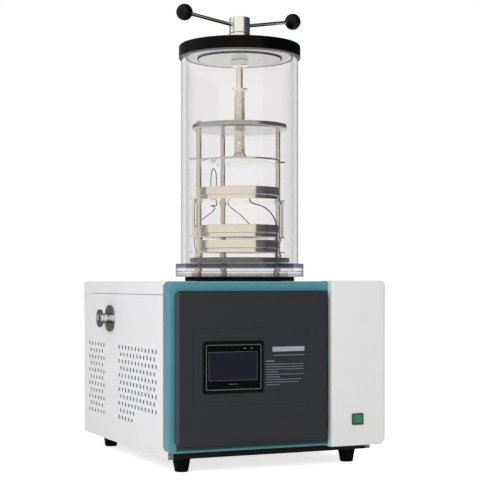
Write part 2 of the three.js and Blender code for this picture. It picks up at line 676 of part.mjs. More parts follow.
/** The fan wheel: a hub on the motor's shaft and pitched blades, axis along Y. */
function fanRotorGeometry() {
  const hubPart = bar(fan.hub / 2, -fan.depth / 2, fan.depth / 2, 3 * fan.blades);
  const [root, tip] = [fan.hub / 2 - shroud.armInto, fanRadius];
  const outline = outlineOf([
    [root, -blade.rootChord / 2], [tip * blade.bellyAt, -blade.belly], [tip, blade.lean - blade.tipChord / 2],
    [tip, blade.lean + blade.tipChord / 2], [root, blade.rootChord / 2],
  ]);
  const blades = Array.from({ length: fan.blades }, (_, k) => {
    const plate = new THREE.ExtrudeGeometry(outline, { depth: blade.thick, bevelEnabled: false });
    plate.translate(0, 0, -blade.thick / 2).rotateX(rad(blade.pitchDegrees));
    return plate.rotateZ((2 * Math.PI * k) / fan.blades);
  });
  const socket = bar(fan.spindle / 2 + running, -fan.depth, fan.depth / 2 - fan.spindle, facets.post);
  return cut(join(hubPart, ...blades), socket).rotateX(Math.PI / 2);
}

/** The controller's box, on the back of the plate behind the fascia. */
function controllerGeometry() {
  const [x, front] = [half - controller.fromRight, inFascia + sheet + fit];
  const [w, h] = [controller.width / 2, controller.height / 2];
  return block([x - w, front, controller.z - h], [x + w, front + controller.depth, controller.z + h]);
}

const compressorPlace = [compressor.fromLeft - half, housing.depth - compressor.fromRear, floorTop];
const condenserPlace = [condenserX, condenserRear - condenser.thick / 2, floorTop];

piece("cold_trap_pot", coldTrapGeometry(), "steel", stack);
piece("evaporator_coil", coilGeometry(), "copper", stack);
piece("trap_insulation", insulationGeometry(), "foam", stack);
piece("compressor", compressorGeometry(), "black").position.set(...compressorPlace);
piece("condenser_core", condenserGeometry(), "aluminium").position.set(...condenserPlace);
piece("fan_shroud", fanShroudGeometry(), "galvanised").position.set(condenserX, shroudY, fanZ);
piece("fan_rotor", fanRotorGeometry(), "black").position.set(condenserX, rotorY, fanZ);
piece("controller_box", controllerGeometry(), "galvanised");

// ---------------------------------------------------------------- clear chamber

/** The acrylic tube, bonded into its thick base flange, whose inner lip stands on the gasket. */
function chamberTubeGeometry() {
  const [lip, flange] = [gasketInner + gasket.lip, tubeOuter + tube.flangeStand];
  const base = gasket.height + fit;
  const [seat, shoulder] = [base + tube.seatThick, base + tube.flangeThick];
  return turned([
    [lip, base], [flange, base], [flange, shoulder], [tubeOuter, shoulder], [tubeOuter, tubeTop],
    [tubeInner, tubeTop], [tubeInner, seat], [lip, seat],
  ], facets.wide);
}

piece("base_gasket", ring(gasketInner, gasketOuter, fit, gasket.height, facets.wide), "rubber", stack);
piece("chamber_tube", chamberTubeGeometry(), "acrylic", stack);

// ---------------------------------------------------------------- tray rack

/** Round holes on a circle, as bars to cut with. */
function holesOnCircle(circle, radius, angles, bottom, top, segments) {
  return angles.map((angle) => {
    const a = rad(angle);
    return bar(radius, bottom, top, segments).translate(circle * Math.cos(a), circle * Math.sin(a), 0);
  });
}

/** The holes through which a plate of the rack takes the three posts. */
const postHoles = (radius, bottom, top) =>
  holesOnCircle(postCircle, radius, Object.values(postAngles), bottom, top, facets.post);

/** The ears that carry a plate on the posts. */
function ears(inner, bottom, top) {
  const outer = postCircle + ear.beyondPost;
  return Object.values(postAngles).map((angle) =>
    block([inner, -ear.halfWidth, bottom], [outer, ear.halfWidth, top]).rotateZ(rad(angle)));
}

/** The rack's base plate, with openings for the vapour on its way to the cold trap. */
function rackBaseGeometry() {
  const [low, top] = [rackBase.bottom, rackBase.bottom + rackBase.thick];
  const [from, to] = [low - over, top + over];
  const angles = Array.from({ length: rackBase.holes }, (_, k) => (360 * (k + 0.5)) / rackBase.holes);
  return cut(
    bar(rackRadius, low, top, facets.wide), ...postHoles(post.radius + fit, from, to),
    bar(rackBase.centreHole / 2, from, to, facets.bar),
    ...holesOnCircle(postCircle - rackBase.holesFromPosts, rackBase.hole / 2, angles, from, to, facets.post));
}

/** A post: leg, rod, one collar under each shelf, and the nut above the top plate. */
function postGeometry() {
  const foot0 = fit + trap.rimThick + fit;
  const baseTop = rackBase.bottom + rackBase.thick;
  const plateTop = topPlate.bottom + topPlate.thick;
  const profile = [[0, foot0], [post.leg, foot0], [post.leg, rackBase.bottom - fit]];
  profile.push([post.radius, rackBase.bottom - fit], [post.radius, baseTop + fit]);
  const lowest = Math.min(...shelf.bottoms);
  for (const bottom of [...shelf.bottoms].reverse()) {
    const low = bottom === lowest ? baseTop + fit : bottom - post.collarHeight;
    if (bottom !== lowest) profile.push([post.radius, low]);
    profile.push([post.collar, low], [post.collar, bottom - fit], [post.radius, bottom - fit]);
  }
  profile.push([post.radius, topPlate.bottom - fit], [post.tip, topPlate.bottom - fit]);
  profile.push([post.tip, plateTop + fit], [postNut.radius, plateTop + fit]);
  profile.push([postNut.radius, plateTop + postNut.height], [0, plateTop + postNut.height]);
  return turned(profile, facets.post);
}

/** A shelf: a heated disc on an ear plate, and on the upper one the links to the shelf below. */
function shelfGeometry(bottom, linkEnd) {
  const disc = bar(shelfRadius, bottom, bottom + shelf.height, facets.plate);
  const plate = join(disc, ...ears(shelfRadius - ear.into, bottom, bottom + ear.thick));
  const drilled = cut(plate, ...postHoles(post.radius + running, bottom - over, bottom + ear.thick + over));
  if (linkEnd === undefined) return drilled;
  const sides = [postAngles.left, postAngles.right];
  return join(drilled, ...holesOnCircle(linkCircle, link.radius, sides, linkEnd, bottom + over, facets.post));
}

/** A round product tray. */
function trayGeometry(bottom) {
  const [outer, inner] = [trayRadius, trayRadius - tray.wall];
  const [low, floor, top] = [bottom + fit, bottom + fit + tray.wall, bottom + tray.height];
  const cup = [[0, low], [outer, low], [outer, top], [inner, top], [inner, floor], [0, floor]];
  return turned(cup, facets.plate);
}

/** The rack's top plate, which takes the thrust of the screw. */
function topPlateGeometry() {
  const r = topPlateRadius;
  const [low, top] = [topPlate.bottom, topPlate.bottom + topPlate.thick];
  const c = topPlate.chamfer;
  const disc = turned([[0, low], [r - c, low], [r, low + c], [r, top], [0, top]], facets.wide);
  const nutHole = bar(nut.body / 2 + fit, low - over, top + over, facets.neck);
  return cut(disc, nutHole, ...postHoles(post.tip + fit, low - over, top + over));
}

/** The flanged nut in the top plate. */
function screwNutGeometry() {
  const top = topPlate.bottom + topPlate.thick + fit;
  return turned([
    [screwHole, topPlate.bottom], [nut.body / 2, topPlate.bottom], [nut.body / 2, top], [nut.flange / 2, top],
    [nut.flange / 2, top + nut.flangeThick], [screwHole, top + nut.flangeThick],
  ], facets.neck);
}

const shelfNames = ["upper", "middle", "lower"];
const [upperShelf, middleShelf] = shelf.bottoms;
shelf.bottoms.forEach((bottom, k) => {
  const linkEnd = bottom === upperShelf ? middleShelf + ear.thick + fit : undefined;
  piece(`${shelfNames[k]}_shelf`, shelfGeometry(bottom, linkEnd), "steel", stack);
  piece(`${shelfNames[k]}_tray`, trayGeometry(bottom + shelf.height), "steel", stack);
});
for (const [name, angle] of Object.entries(postAngles)) {
  const a = rad(angle);
  const at = [postCircle * Math.cos(a), postCircle * Math.sin(a), 0];
  piece(`${name}_post`, postGeometry(), "steel", stack).position.set(...at);
}
piece("rack_base_plate", rackBaseGeometry(), "steel", stack);
piece("rack_top_plate", topPlateGeometry(), "steel", stack);
piece("screw_nut", screwNutGeometry(), "bronze", stack);

// ---------------------------------------------------------------- stoppering press

/** The press plate: a disc with ears that slide on the posts. */
function pressPlateGeometry() {
  const [under, top] = [pressPlate.top - pressPlate.thick, pressPlate.top];
  const disc = bar(trayRadius, under, top, facets.plate);
  const plate = join(disc, ...ears(trayRadius - ear.into, under, top));
  return cut(plate, ...postHoles(post.radius + running, under - over, top + over));
}

/** The foot that couples the screw to the press plate. */
function screwFootGeometry() {
  const low = pressPlate.top + fit;
  const top = low + screwFoot.height - 2 * fit;
  const socket = screw.nose / 2 + running;
  return turned([
    [0, low], [screwFoot.bottom / 2, low], [screwFoot.top / 2, top], [socket, top],
    [socket, top - screwFoot.socket], [0, top - screwFoot.socket],
  ], facets.neck);
}

/** The press screw: a nose in the foot, the threaded sleeve, its collar and the keyway bore. */
function pressScrewGeometry() {
  const [r, nose, collar] = [screw.diameter / 2, screw.nose / 2, screw.collar / 2];
  const noseEnd = screw.bottom - screwFoot.socket + 2 * fit;
  const { bottom, top } = screw;
  const [under, boreEnd] = [top - screw.collarThick, top - screw.bore];
  return turned([
    [0, noseEnd], [nose, noseEnd], [nose, bottom], [r, bottom], [r, under], [collar, under],
    [collar, top], [shaftHole, top], [shaftHole, boreEnd], [0, boreEnd],
  ], facets.neck);
}

piece("press_plate", pressPlateGeometry(), "steel", stack);
piece("screw_foot", screwFootGeometry(), "steel", stack);
piece("press_screw", pressScrewGeometry(), "steel", stack);

// ---------------------------------------------------------------- lid, gland and T-handle

/** The lid: a thick black disc with a chamfered upper edge. */
function lidGeometry() {
  const r = lidRadius;
  const bore = lid.hole / 2;
  return turned([
    [bore, lid.bottom], [r, lid.bottom], [r, lidTop - lid.chamfer], [r - lid.chamfer, lidTop], [bore, lidTop],
  ], facets.wide);
}

/** The steel disc under the lid, thicker in its middle. */
function backingGeometry() {
  const top = lid.bottom - fit;
  const [low, step] = [top - backing.thick, top - backing.thick - backing.step];
  const outer = tubeInner - backing.gap;
  const inner = outer - backing.stepWidth;
  return turned([
    [lid.hole / 2, step], [inner, step], [inner, low], [outer, low], [outer, top], [lid.hole / 2, top],
  ], facets.wide);
}

/** The gland that seals the shaft: a sleeve through the lid with a wide head on top. */
function glandGeometry() {
  const [head, sleeve] = [gland.diameter / 2, lid.hole / 2 - fit];
  const [low, base, top] = [lid.bottom - gland.reach, lidTop + fit, lidTop + fit + gland.height];
  return turned([
    [shaftHole, low], [sleeve, low], [sleeve, base], [head, base], [head, top - gland.chamfer],
    [head - gland.chamfer, top], [shaftHole, top],
  ], facets.neck);
}

/** The T-handle's hub, bored for the shaft and for the two rods. */
function hubGeometry() {
  const r = hub.diameter / 2;
  const top = hubBase + hub.height;
  const body = turned([
    [0, hubBase], [r - hub.underChamfer, hubBase], [r, hubBase + hub.underChamfer], [r, top - hub.chamfer],
    [r - hub.chamfer, top], [0, top],
  ], facets.neck);
  const shaftSocket = bar(shaft.diameter / 2 + fit, hubBase - over, hubBase + shaft.inHub + fit, facets.neck);
  const sockets = [0, 180].map((angle) => rodBar(rod.diameter / 2 + fit, angle, r - rod.socket, 2 * r));
  return cut(body, shaftSocket, ...sockets);
}

/** A round bar along one of the handle's rising arms, from one distance to another. */
function rodBar(radius, angle, from, to) {
  const arm = bar(radius, from, to, facets.post).rotateY(Math.PI / 2);
  return arm.rotateY(rad(-rod.riseDegrees)).rotateZ(rad(angle)).translate(0, 0, hubBase + rod.fromHubBase);
}

/** A ball knob with the blind hole for its rod, the hole pointing at the hub. */
function knobGeometry() {
  const ball = new THREE.SphereGeometry(knob.diameter / 2, facets.bar, facets.post).rotateX(Math.PI / 2);
  const hole = bar(rod.diameter / 2 + fit, -knob.diameter, knob.hole - knob.diameter / 2, facets.post);
  return cut(ball, hole).rotateY(Math.PI / 2);
}

const hubEdge = hub.diameter / 2;
const armLength = rod.knobCentre / Math.cos(rad(rod.riseDegrees));
const rodEnd = armLength - knob.diameter / 2 + knob.hole - fit;
piece("lid", lidGeometry(), "black", stack);
piece("lid_seal", ring(tubeInner - lidSeal.inward, lidRadius, tubeTop + fit, lid.bottom - fit, facets.wide),
  "silicone", stack);
piece("lid_backing_plate", backingGeometry(), "steel", stack);
piece("shaft_gland", glandGeometry(), "steel", stack);
const nutTop = lid.bottom - fit - backing.thick - backing.step - fit;
const nutBottom = nutTop - glandNut.height;
piece("gland_nut", ring(lid.hole / 2 + fit, glandNut.diameter / 2, nutBottom, nutTop, facets.neck), "steel",
  stack);
piece("handle_hub", hubGeometry(), "steel", stack);
const shaftTop = hubBase + shaft.inHub;
piece("drive_shaft", bar(shaft.diameter / 2, shaft.bottom, shaftTop, facets.neck), "steel", stack);
for (const [name, angle] of Object.entries({ right: 0, left: 180 })) {
  piece(`${name}_rod`, rodBar(rod.diameter / 2, angle, hubEdge - rod.socket + fit, rodEnd), "steel", stack);
  const ball = knobGeometry().translate(armLength, 0, 0).rotateY(rad(-rod.riseDegrees)).rotateZ(rad(angle));
  piece(`${name}_knob`, ball.translate(0, 0, hubBase + rod.fromHubBase), "black", stack);
}

// ---------------------------------------------------------------- leads in the chamber

/** A point of a lead, from its radius, angle and height about the chamber's axis. */
const spot = (radius, angle, height) =>
  new THREE.Vector3(radius * Math.cos(rad(angle)), radius * Math.sin(rad(angle)), height);

const shelfUnder = upperShelf - fit;
const baseTop = rackBase.bottom + rackBase.thick + fit;
const trayFloor = middleShelf + shelf.height + fit + tray.wall;

const leads = {
  heater_lead: { diameter: 2.6, points: [
    [62, -93, shelfUnder], [62.5, -92.5, 177.5], [65.5, -89, 173.5], [79.6, -75, 166], [91, -68.7, 155],
    [99, -65, 140], [103.2, -63.7, 123], [104, -63.3, 100], [104, -63.3, 75], [104, -63.3, baseTop]] },
  probe_lead: { diameter: 2, points: [
    [80, 86, shelfUnder], [79.5, 85.5, 177.5], [76, 81, 170], [64, 66, 155], [54, 46, 136], [51.5, 33, 122],
    [51.5, 29, trayFloor + 1.4]] },
  ground_lead: { diameter: 2, points: [
    [80, 109, shelfUnder], [80, 109, 178.5], [85, 104.5, 176], [92, 108, 175], [91, 115, 174],
    [84, 117, 173], [78, 113, 170.5], [79, 117, 162], [90, 124, 150], [105, 131, 136], [114, 133, 124],
    [117, 134, 108], [115, 133.5, 85], [111, 133, 66], [110, 133, baseTop]] },
  sensor_lead: { diameter: 2, points: [
    [shelfRadius + fit, 108, upperShelf + 5], [94, 108, upperShelf + 5.5], [101, 107.5, 194],
    [104, 107, 215], [105, 106.5, 240], [105, 104.5, 258], [105, 102, 263], [104.5, 99.8, 258],
    [104, 98, 240], [104, 98.5, 215], [101, 98.5, 194], [94, 98.5, upperShelf + 5.5],
    [shelfRadius + fit, 98.5, upperShelf + 5]] },
};
for (const [name, { diameter, points }] of Object.entries(leads)) {
  piece(name, lead(points.map((p) => spot(...p)), diameter, 3), "rubber", stack);
}

// ---------------------------------------------------------------- origin

model.updateMatrixWorld(true);
const bounds = new THREE.Box3().setFromObject(model, true);
const middle = bounds.getCenter(new THREE.Vector3());
model.position.set(-middle.x, -middle.y, -bounds.min.z);

export default model;
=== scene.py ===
"""Benchtop freeze dryer: the looks of every piece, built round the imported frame.

The frame gives each node's place. Every sub-assembly below is a class that builds finer pieces over its
nodes, dresses them in a finish and lets them ride on the body that they belong to. Lengths are in metres,
+Z is up and the front faces -Y.
"""

from __future__ import annotations

import json
import logging
import math
from dataclasses import dataclass
from enum import Enum
from functools import reduce
from typing import Sequence

import bmesh
import bpy
from mathutils import Matrix, Vector

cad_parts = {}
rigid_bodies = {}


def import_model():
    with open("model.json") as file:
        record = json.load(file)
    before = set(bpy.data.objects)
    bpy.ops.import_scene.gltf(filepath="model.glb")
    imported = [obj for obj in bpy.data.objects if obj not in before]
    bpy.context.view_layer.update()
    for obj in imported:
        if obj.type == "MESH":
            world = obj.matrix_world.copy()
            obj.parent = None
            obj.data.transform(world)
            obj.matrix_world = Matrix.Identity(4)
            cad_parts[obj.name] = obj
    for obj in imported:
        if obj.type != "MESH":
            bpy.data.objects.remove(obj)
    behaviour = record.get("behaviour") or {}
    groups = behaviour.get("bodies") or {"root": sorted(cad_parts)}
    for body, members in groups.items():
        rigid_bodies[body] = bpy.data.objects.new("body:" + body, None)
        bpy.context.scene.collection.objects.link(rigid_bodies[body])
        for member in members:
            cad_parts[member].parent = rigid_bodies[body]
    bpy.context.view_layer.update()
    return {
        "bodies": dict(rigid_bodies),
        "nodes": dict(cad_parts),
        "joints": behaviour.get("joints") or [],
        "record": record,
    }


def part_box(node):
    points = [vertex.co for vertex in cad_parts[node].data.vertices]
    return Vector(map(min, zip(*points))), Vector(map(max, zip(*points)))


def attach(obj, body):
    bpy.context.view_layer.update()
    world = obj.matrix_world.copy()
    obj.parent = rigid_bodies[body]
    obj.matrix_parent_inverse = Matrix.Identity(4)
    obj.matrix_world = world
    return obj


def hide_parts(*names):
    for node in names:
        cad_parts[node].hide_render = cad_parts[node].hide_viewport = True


LOG = logging.getLogger("freeze_dryer")

SHARP = math.radians(32)  # edges that turn further than this stay crisp
FINE_ROUND = 128  # faces round the tube and the lid
ROUND = 96  # faces round a plate or a tray
FLANGE_ROUND = 64  # faces round a hub, nut or flange
BAR_ROUND = 48  # faces round a bar, knob or foot
POST_ROUND = 32  # faces round a post and its holes
EPSILON = 1e-7  # a length that counts as nothing
WELD = 1e-6  # points closer than this become one
LEAST_CORNER = 0.0005  # radius of a corner that looks square but keeps its points
EDGE_SHARE = 0.45  # how much of a side the round at a corner may take
RUN = 0.01  # how far a cutting tool runs past the piece
GAP = 0.0002  # clearance between pieces that seat on each other
SLIDE = 0.0004  # clearance between pieces that slide or turn in each other
EDGE = 0.0008  # ease of the edges on thick turned steel
FINE_EDGE = 0.0005  # ease of the edges on bars
SOFT_EDGE = 0.001  # ease of the edges on sheet, seals and mouldings
NEARLY = 0.25  # how far apart two numbers may be and still compare as equal
NOISE_SPAN = (0.3, 0.7)  # where most of a noise's values lie
LEAST_ROUGHNESS = 0.02  # no polish goes below it
METAL_SPECULAR = 0.5  # leaves a metal's own colour as it is
MOTTLE_SIZE = 0.05  # size of the fields in which a colour wanders
SMUDGE_SIZE = 0.012  # size of the fields in which the sheen wanders
ROLLED_SHARE = 0.02  # width of the marks on rolled sheet, as a share of their length

Point = tuple[float, float]
Ring = list[tuple[float, float, float]]
Shade = tuple[int, int, int]
Four = tuple[float, float, float, float]
Socket = bpy.types.NodeSocket
Piece = bpy.types.Object


class Body(Enum):
    """The bodies of the frame that pieces ride on."""

    ROOT = "root"
    HANDLE = "t_handle"
    PRESS = "press"
    SCREW = "screw"
    ROCKER = "rocker"


class Axis(Enum):
    """The direction that a section is run along or turned about."""

    X = "x"
    Y = "y"
    Z = "z"

    def place(self, u: float, v: float, along: float) -> tuple[float, float, float]:
        """Puts a point of a section into space.

        Args:
            u: First coordinate in the section.
            v: Second coordinate in the section.
            along: Distance along this axis.

        Returns:
            The point's X, Y and Z.
        """
        if self is Axis.X:
            return along, u, v
        if self is Axis.Y:
            return u, along, v
        return u, v, along


class Relief(Enum):
    """How the fine marks of a surface lie."""

    GRAIN = "grain"  # even in all directions: paint, mouldings, rubber
    TURNED = "turned"  # rings about the piece's own upright axis: lathe work
    ROLLED = "rolled"  # lines along the length of a sheet


# ------------------------ finishes


def linear(shade: Shade) -> Four:
    """Turns a display colour of 0 to 255 into a linear colour.

    Args:
        shade: Red, green and blue.

    Returns:
        Linear red, green and blue, with full opacity.
    """
    values = [v / 255 for v in shade]
    red, green, blue = [v / 12.92 if v <= 0.04045 else ((v + 0.055) / 1.055) ** 2.4 for v in values]
    return red, green, blue, 1.0


@dataclass
class Nodes:
    """Short ways to add and join shader nodes in one tree."""

    tree: bpy.types.NodeTree

    def add(self, kind: str, **values: object) -> bpy.types.Node:
        """Adds a node and sets plain properties on it.

        Args:
            kind: The node's type name.
            values: Properties of the node.

        Returns:
            The new node.
        """
        node = self.tree.nodes.new(kind)
        for name, value in values.items():
            setattr(node, name, value)
        return node

    def join(self, source: Socket, target: Socket) -> None:
        """Links one socket to another."""
        self.tree.links.new(source, target)

    def noise(self, vector: Socket, size: float, detail: float) -> Socket:
        """Adds a noise whose marks are about one size across.

        Args:
            vector: Where the noise is looked up.
            size: Size of the marks, in metres.
            detail: How many finer layers lie in it.

        Returns:
            The noise's value.
        """
        node = self.add("ShaderNodeTexNoise")
        node.inputs["Scale"].default_value = 1 / size
        node.inputs["Detail"].default_value = detail
        self.join(vector, node.inputs["Vector"])
        return node.outputs["Fac"]

    def spread(self, source: Socket, low: float, high: float) -> Socket:
        """Maps the middle of a noise's range to two values.

        Args:
            source: The noise's value.
            low: What it becomes at the low end.
            high: What it becomes at the high end.

        Returns:
            The mapped value.
        """
        node = self.add("ShaderNodeMapRange")
        ends = zip(("From Min", "From Max", "To Min", "To Max"), (*NOISE_SPAN, low, high))
        for name, value in ends:
            node.inputs[name].default_value = value
        self.join(source, node.inputs["Value"])
        return node.outputs["Result"]

    def math(self, operation: str, first: object, second: object = 0.0) -> Socket:
        """Adds a calculation with two values.

        Args:
            operation: The Math node's operation.
            first: A socket or a number.
            second: A socket or a number.

        Returns:
            The result.
        """
        node = self.add("ShaderNodeMath", operation=operation)
        node.inputs[2].default_value = NEARLY  # only COMPARE reads it
        for value, socket in zip((first, second), node.inputs):
            if isinstance(value, Socket):
                self.join(value, socket)
            else:
                socket.default_value = value
        return node.outputs[0]

    def ramp(self, share: Socket, marks: Sequence[tuple[float, Shade]]) -> Socket:
        """Adds a colour ramp.

        Args:
            share: Where along the ramp to look, from 0 to 1.
            marks: The ramp's places and colours.

        Returns:
            The colour.
        """
        node = self.add("ShaderNodeValToRGB")
        stops = node.color_ramp.elements
        while len(stops) < len(marks):
            stops.new(1.0)
        for stop, (place, shade) in zip(stops, marks):
            stop.position = place
            stop.color = linear(shade)
        self.join(share, node.inputs[0])
        return node.outputs[0]

    def own_place(self) -> Socket:
        """Coordinates in the piece's own space."""
        return self.add("ShaderNodeTexCoord").outputs["Object"]

    def split(self, place: Socket) -> bpy.types.NodeOutputs:
        """Splits coordinates.

        Args:
            place: The coordinates.

        Returns:
            Their parts, by the names X, Y and Z.
        """
        node = self.add("ShaderNodeSeparateXYZ")
        self.join(place, node.inputs[0])
        return node.outputs

    def merged(self, **parts: Socket) -> Socket:
        """Puts coordinates together.

        Args:
            parts: Their parts, by the names X, Y and Z. One that isn't given is 0.

        Returns:
            The coordinates.
        """
        node = self.add("ShaderNodeCombineXYZ")
        for name, part in parts.items():
            self.join(part, node.inputs[name])
        return node.outputs[0]

    def mixed(self, share: Socket, first: Socket, second: Socket) -> Socket:
        """Mixes two shaders.

        Args:
            share: How much of the second one.
            first: The first shader.
            second: The second one.

        Returns:
            The mix.
        """
        node = self.add("ShaderNodeMixShader")
        for source, target in zip((share, first, second), node.inputs):
            self.join(source, target)
        return node.outputs[0]

    def seen(self) -> Socket:
        """1 for a look straight from the eye or through glass, else 0."""
        path = self.add("ShaderNodeLightPath").outputs
        return self.math("MAXIMUM", path["Is Camera Ray"], path["Is Transmission Ray"])

    def along_marks(self, relief: Relief) -> Socket:
        """Gives coordinates in which noise lies as the surface's marks do.

        Args:
            relief: How the marks lie.

        Returns:
            The coordinates.
        """
        if relief is Relief.GRAIN:
            return self.own_place()
        parts = self.split(self.own_place())
        if relief is Relief.ROLLED:
            return self.merged(X=self.math("MULTIPLY", parts["X"], ROLLED_SHARE), Y=parts["Y"], Z=parts["Z"])
        distance = self.add("ShaderNodeVectorMath", operation="LENGTH")
        self.join(self.merged(X=parts["X"], Y=parts["Y"]), distance.inputs[0])
        return self.merged(X=distance.outputs["Value"], Z=parts["Z"])


@dataclass(frozen=True)
class Finish:
    """A surface finish, with the small changes of colour, sheen and height that a real one has.

    Attributes:
        name: The material's name.
        slot: The record's material slot.
        shade: Its colour as shown, 0 to 255.
        roughness: Mean roughness.
        metallic: 1 for bare metal.
        mottle: How far the colour wanders, as a share.
        smudge: How far the roughness wanders.
        height: Height of the fine relief, in metres.
        size: Size of the relief's marks, in metres.
        relief: How the marks lie.
        specular: How strongly a non-metal mirrors, 0.5 for plain glass or gloss paint.
    """

    name: str
    slot: str
    shade: Shade
    roughness: float
    metallic: float = 0.0
    mottle: float = 0.02
    smudge: float = 0.04
    height: float = 0.00001
    size: float = 0.0012
    relief: Relief = Relief.GRAIN
    specular: float = 0.25

    def material(self) -> bpy.types.Material:
        """Makes the material, or finds it if it is made already."""
        known = bpy.data.materials.get(self.name)
        return known if known else self.build(bpy.data.materials.new(self.name))

    def build(self, material: bpy.types.Material) -> bpy.types.Material:
        """Fills the material's node tree.

        Args:
            material: A new material.

        Returns:
            The same material.
        """
        material.use_nodes = True
        shader = material.node_tree.nodes["Principled BSDF"]
        shader.inputs["Metallic"].default_value = self.metallic
        shader.inputs["Specular IOR Level"].default_value = METAL_SPECULAR if self.metallic else self.specular
        self.paint(Nodes(material.node_tree), shader)
        return material

    def paint(self, nodes: Nodes, shader: bpy.types.Node) -> None:
        """Joins colour, roughness and relief to the shader.

        Args:
            nodes: The material's nodes.
            shader: Its shader.
        """
        marks = nodes.along_marks(self.relief)
        colour = nodes.add("ShaderNodeVectorMath", operation="SCALE")
        nodes.join(self.ground(nodes), colour.inputs[0])
        fields = nodes.noise(nodes.own_place(), MOTTLE_SIZE, detail=3)
        nodes.join(nodes.spread(fields, 1 - self.mottle, 1 + self.mottle), colour.inputs["Scale"])
        nodes.join(colour.outputs[0], shader.inputs["Base Color"])
        smudges = nodes.noise(marks, SMUDGE_SIZE, detail=4)
        low, high = max(self.roughness - self.smudge, LEAST_ROUGHNESS), self.roughness + self.smudge
        nodes.join(nodes.spread(smudges, low, high), shader.inputs["Roughness"])
        bump = nodes.add("ShaderNodeBump")
        bump.inputs["Distance"].default_value = self.height
        nodes.join(nodes.noise(marks, self.size, detail=2), bump.inputs["Height"])
        nodes.join(bump.outputs[0], shader.inputs["Normal"])

    def ground(self, nodes: Nodes) -> Socket:
        """The colour under the mottling.

        Args:
            nodes: The material's nodes.

        Returns:
            The colour.
        """
        node = nodes.add("ShaderNodeRGB")
        node.outputs[0].default_value = linear(self.shade)
        return node.outputs[0]


@dataclass(frozen=True)
class PaintedRimShading(Finish):
    """A moulding whose rims on some sides carry painted light: a painted shade on the teal frame, a painted
    highlight on the dark panel.

    Attributes:
        rim: The painted colour of the rims, darker for painted shade and lighter for a painted highlight.
        painted_rims: The painted rims in front view: left, right, bottom and top.
        blend: Width over which the colours meet.
    """

    rim: Shade = (40, 58, 60)
    painted_rims: tuple[Four, ...] = ()
    blend: float = 0.004

    def ground(self, nodes: Nodes) -> Socket:
        """The own colour and the painted rim colour, mixed by place.

        Args:
            nodes: The material's nodes.

        Returns:
            The colour.
        """
        place = nodes.split(nodes.own_place())
        share: object = 0.0
        # each box gets the painted rim colour: painted shade where it is darker, a painted highlight where it
        # is lighter
        for left, right, bottom, top in self.painted_rims:
            differences = ((place["X"], left), (right, place["X"]), (place["Z"], bottom), (top, place["Z"]))
            depths = [nodes.math("SUBTRACT", *pair) for pair in differences]
            depth = reduce(lambda least, other: nodes.math("MINIMUM", least, other), depths)
            share = nodes.math("MAXIMUM", share, nodes.math("DIVIDE", depth, self.blend))
        return nodes.ramp(share, ((0.0, self.shade), (1.0, self.rim)))


@dataclass(frozen=True)
class LatheTurnedPaintedGleam(Finish):
    """Lathe-turned steel about a level axis, with a painted highlight at mid height and painted shade above
    and below.

    Attributes:
        upper: Painted shade above the painted highlight.
        lower: Painted shade below it.
        reach: Half the height over which the colours run.
        painted_highlight: Where the painted highlight starts, is full, ends and is gone, as shares of that
            height.
    """

    upper: Shade = (112, 112, 120)
    lower: Shade = (104, 98, 88)
    reach: float = 0.024
    painted_highlight: Four = (0.34, 0.46, 0.60, 0.72)

    def ground(self, nodes: Nodes) -> Socket:
        """The three colours, from the lower to the upper: painted shade, painted highlight, painted shade.

        Args:
            nodes: The material's nodes.

        Returns:
            The colour.
        """
        # painted light: the colour runs with height from painted shade through a painted highlight to painted
        # shade
        height = nodes.split(nodes.own_place())["Z"]
        share = nodes.math("ADD", nodes.math("DIVIDE", height, 2 * self.reach), 0.5)
        return nodes.ramp(share, list(zip(self.painted_highlight, (self.lower, self.shade, self.shade, self.upper))))


CLEAR: Shade = (247, 246, 247)  # what a face of clear acrylic lets through


@dataclass(frozen=True)
class ClearAcrylic(Finish):
    """Thick clear acrylic: it bends light, lets lamps through, darkens along its edges and carries painted
    dark bands on its base flange.

    Attributes:
        ior: Index of refraction.
        dim: How strongly it darkens with depth, per metre.
        flange: What the faces let through at each height of the thick base flange; its dark bands are painted
            reflections.
        reach: Height over which these bands are laid.
    """

    ior: float = 1.49
    dim: float = 1.3
    # painted reflections: the darker bands across the flange
    flange: tuple[tuple[float, Shade], ...] = (
        (0.000, (176, 174, 184)), (0.006, (196, 194, 200)), (0.010, CLEAR), (0.0175, CLEAR),
        (0.021, (128, 130, 146)), (0.0282, (112, 114, 134)), (0.0296, CLEAR),
    )
    reach: float = 0.05

    def build(self, material: bpy.types.Material) -> bpy.types.Material:
        """Fills the node tree: glass for sight with painted reflections on the flange, a clear pass for
        lamps, and absorption inside.

        Args:
            material: A new material.

        Returns:
            The same material.
        """
        material.use_nodes = True
        tree = material.node_tree
        nodes = Nodes(tree)
        shader = tree.nodes["Principled BSDF"]
        shader.inputs["Transmission Weight"].default_value = 1
        shader.inputs["IOR"].default_value = self.ior
        place = nodes.own_place()
        height = nodes.math("DIVIDE", nodes.split(place)["Z"], self.reach)
        # painted reflections: the flange's dark bands are painted into the glass's colour by height
        painted_bands = nodes.ramp(height, [(at / self.reach, shade) for at, shade in self.flange])
        nodes.join(painted_bands, shader.inputs["Base Color"])
        smudges = nodes.noise(place, self.size, detail=3)
        haze = nodes.spread(smudges, self.roughness, self.roughness + self.smudge)
        nodes.join(haze, shader.inputs["Roughness"])
        clear = nodes.add("ShaderNodeBsdfTransparent")
        path = nodes.add("ShaderNodeLightPath").outputs
        lamps = nodes.math("MAXIMUM", path["Is Shadow Ray"], path["Is Diffuse Ray"])
        output = tree.nodes["Material Output"]
        nodes.join(nodes.mixed(lamps, shader.outputs[0], clear.outputs[0]), output.inputs["Surface"])
        volume = nodes.add("ShaderNodeVolumeAbsorption")
        volume.inputs["Color"].default_value = linear(self.shade)
        volume.inputs["Density"].default_value = self.dim
        nodes.join(volume.outputs[0], output.inputs["Volume"])
        return material


